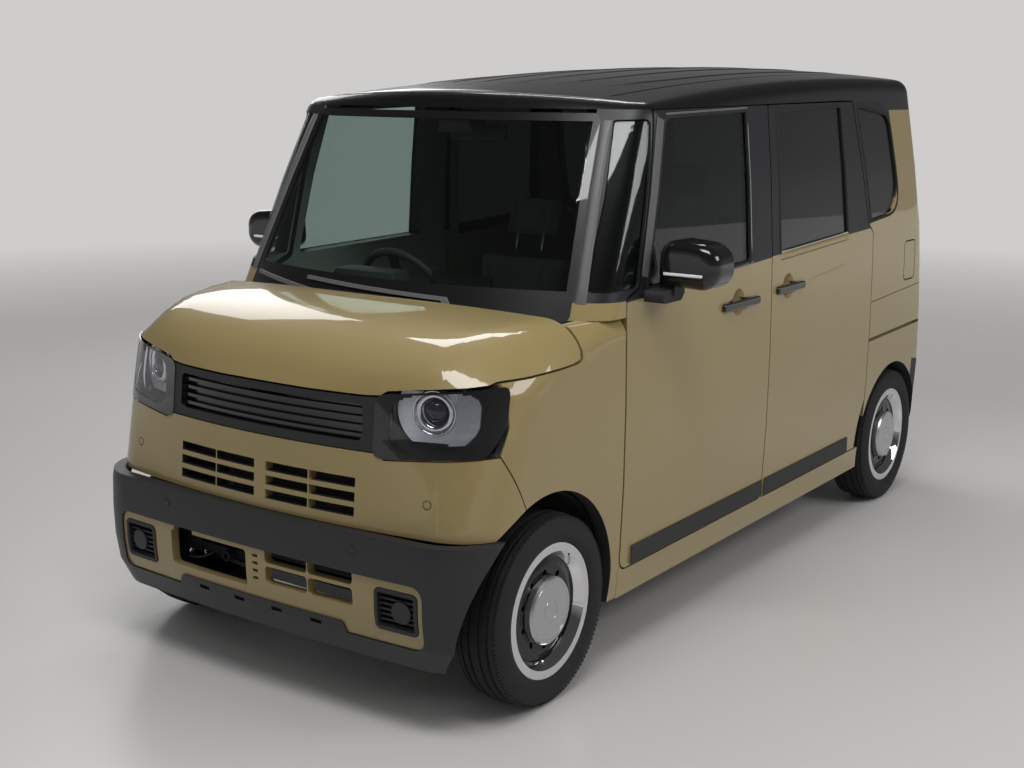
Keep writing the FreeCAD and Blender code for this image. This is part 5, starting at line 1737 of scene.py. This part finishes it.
@dataclass
class Underbody:
    """Finishes of what carries the car, and the carpet on its floor.

    Attributes:
        looks: Finish per CAD node.
        reach: Half the carpet's width.
        narrow: Half its width between the front wheel wells.
        wells_end: Where the front wheel wells end.
        floor_z: Height of the cabin floor.
    """

    looks: dict = field(default_factory=lambda: {
        "floor_pan": UNDER, "wheel_houses": UNDER, "strut_towers": UNDER, "front_frame": UNDER, "engine": BLOCK,
        "front_subframe": STEEL, "rear_axle": STEEL, "fuel_tank": TANK, "exhaust": STEEL,
        "knuckle_left": STEEL, "knuckle_right": STEEL,
    })
    reach: float = 0.640
    narrow: float = 0.385
    wells_end: float = -0.920
    floor_z: float = 0.2365

    def build(self) -> None:
        """Coats the nodes and lays the carpet."""
        for node, look in self.looks.items():
            panel(node, [look])
        self._carpet()

    def _carpet(self) -> None:
        """The carpet on the cabin floor, with its folds up the sill."""
        points = []
        xs, ys = np.linspace(-1.0, 1.0, 41), np.linspace(-1.050, 0.660, 61)
        for y in ys:
            reach = self.reach if y > self.wells_end else self.narrow
            for x in reach * xs:
                fold = 0.030 * max(0.0, (abs(x) - 0.58) / 0.06) ** 2
                wave = 0.0015 * math.sin(37 * x) * math.sin(29 * y)
                points.append((x, y, self.floor_z + 0.010 + fold + wave))
        mesh = from_faces("carpet", points, grid_faces(len(ys), len(xs)))
        if mesh.polygons[0].normal.z < 0:
            mesh.flip_normals()
        for face in mesh.polygons:
            face.use_smooth = True
        add_object("cabin_carpet", mesh, [CARPET], "root")


# ---------------------------------------------------------------- studio
@dataclass
class Studio:
    """Floor, light and camera.

    Attributes:
        lens: Focal length in millimetres.
        spot: Place of the camera.
        yaw: Its turn about Z.
        pitch: How far it looks down.
        roll: Its turn about its own axis.
        size: Half the side of the floor.
        lights: Name, place, target, width, depth and power of each soft panel.
    """

    lens: float = 49.4
    spot: Point = (2.776, -4.337, 1.715)
    yaw: float = 0.620
    pitch: float = 0.211
    roll: float = 0.005
    size: float = 30.0
    lights: tuple = (("key", (1.2, -2.6, 4.6), (0.0, -0.4, 0.8), 2.6, 1.2, 95.0),
                     ("side", (4.8, 0.6, 3.6), (0.4, 0.2, 0.8), 3.2, 1.4, 80.0),
                     ("roof", (-1.4, 1.6, 5.0), (0.0, 0.4, 1.0), 3.0, 1.0, 60.0),
                     ("back", (-4.0, 2.0, 3.2), (0.0, 0.3, 0.9), 3.0, 2.0, 50.0))

    def build(self) -> None:
        """Sets the stage."""
        scene = bpy.context.scene
        scene.view_settings.view_transform = "Standard"
        self._floor()
        self._world()
        self._lamps()
        self._camera()

    def _floor(self) -> None:
        """The glossy floor, which fades into the backdrop."""
        size = self.size
        corners = [(-size, -size, 0), (size, -size, 0), (size, size, 0), (-size, size, 0)]
        mesh = from_faces("floor", corners, [[0, 1, 2, 3]])
        if mesh.polygons[0].normal.z < 0:
            mesh.flip_normals()
        floor = bpy.data.objects.new("floor", mesh)
        bpy.context.scene.collection.objects.link(floor)
        graph = Graph("floor")
        noise = graph.node("ShaderNodeTexNoise", {"Vector": graph.place, "Scale": 0.6})
        rough = graph.math("MULTIPLY_ADD", noise.outputs[0], 0.05, False, 0.33)
        ground = graph.node("ShaderNodeBsdfPrincipled", {"Base Color": STUDIO_GREY, "Roughness": rough})
        far = graph.node("ShaderNodeEmission", {"Color": STUDIO_GREY, "Strength": 1.0})
        away = graph.node("ShaderNodeVectorMath", {0: graph.place}, operation="LENGTH")
        fade = graph.node("ShaderNodeMapRange", {"Value": away.outputs["Value"], "From Min": 3.5, "From Max": 11.0})
        path = graph.node("ShaderNodeLightPath")
        seen = graph.math("MAXIMUM", path.outputs["Is Camera Ray"], path.outputs["Is Glossy Ray"])
        seen = graph.math("MAXIMUM", seen, path.outputs["Is Transmission Ray"])
        share = graph.math("MULTIPLY", fade.outputs[0], seen)
        mixed = graph.node("ShaderNodeMixShader", {0: share, 1: ground.outputs[0], 2: far.outputs[0]})
        mesh.materials.append(graph.finish(mixed.outputs[0]))

    def _world(self) -> None:
        """A grey backdrop for the camera, a soft sky for the light and a darker one for reflections."""
        world = bpy.data.worlds.new("studio")
        bpy.context.scene.world = world
        world.use_nodes = True
        tree = world.node_tree
        tree.nodes.clear()
        node, link = tree.nodes.new, tree.links.new
        height, path = node("ShaderNodeSeparateXYZ"), node("ShaderNodeLightPath")
        link(node("ShaderNodeTexCoord").outputs["Generated"], height.inputs[0])
        skies = []
        for low, high, dark, bright in ((-0.1, 0.9, 0.30, 0.52), (-0.05, 0.32, 0.30, 0.07)):
            ramp, sky = node("ShaderNodeMapRange"), node("ShaderNodeBackground")
            for name, value in zip(("From Min", "From Max", "To Min", "To Max"), (low, high, dark, bright)):
                ramp.inputs[name].default_value = value
            link(height.outputs[2], ramp.inputs["Value"])
            link(ramp.outputs[0], sky.inputs["Strength"])
            skies.append(sky)
        backdrop = node("ShaderNodeBackground")
        backdrop.inputs["Color"].default_value = STUDIO_GREY
        last = skies[0]
        for ray, other in (("Is Glossy Ray", skies[1]), ("Is Camera Ray", backdrop)):
            mix = node("ShaderNodeMixShader")
            link(path.outputs[ray], mix.inputs[0])
            link(last.outputs[0], mix.inputs[1])
            link(other.outputs[0], mix.inputs[2])
            last = mix
        link(last.outputs[0], node("ShaderNodeOutputWorld").inputs["Surface"])

    def _lamps(self) -> None:
        """Soft ceiling panels and a fill."""
        for name, spot, target, wide, deep, power in self.lights:
            data = bpy.data.lights.new(name, "AREA")
            data.shape, data.size, data.size_y, data.energy = "RECTANGLE", wide, deep, power
            lamp = bpy.data.objects.new(name, data)
            lamp.location = spot
            lamp.rotation_euler = (Vector(target) - Vector(spot)).to_track_quat("-Z", "Y").to_euler()
            bpy.context.scene.collection.objects.link(lamp)

    def _camera(self) -> None:
        """The camera at its place."""
        data = bpy.data.cameras.new("camera")
        data.lens, data.sensor_width = self.lens, 36.0
        camera = bpy.data.objects.new("camera", data)
        turn = Matrix.Rotation(self.yaw, 4, "Z") @ Matrix.Rotation(math.pi / 2 - self.pitch, 4, "X")
        camera.matrix_world = Matrix.Translation(self.spot) @ turn @ Matrix.Rotation(self.roll, 4, "Z")
        bpy.context.scene.collection.objects.link(camera)
        bpy.context.scene.camera = camera


@dataclass
class Car:
    """The whole car, by sub-assembly."""

    rings: RingMaker = field(default_factory=RingMaker)

    def build(self) -> None:
        """Builds every sub-assembly."""
        wheels = [Wheel(end, side, self.rings) for end in End for side in Side]
        for part in (Shell(), Glazing(), Nose(), Mirrors(), Cabin(), Underbody(), *wheels):
            LOG.info("building %s", type(part).__name__)
            part.build()


def main() -> None:
    """Builds the looks and the stage."""
    logging.basicConfig(level=logging.INFO)
    Car().build()
    Studio().build()


if __name__ == "__main__":
    main()
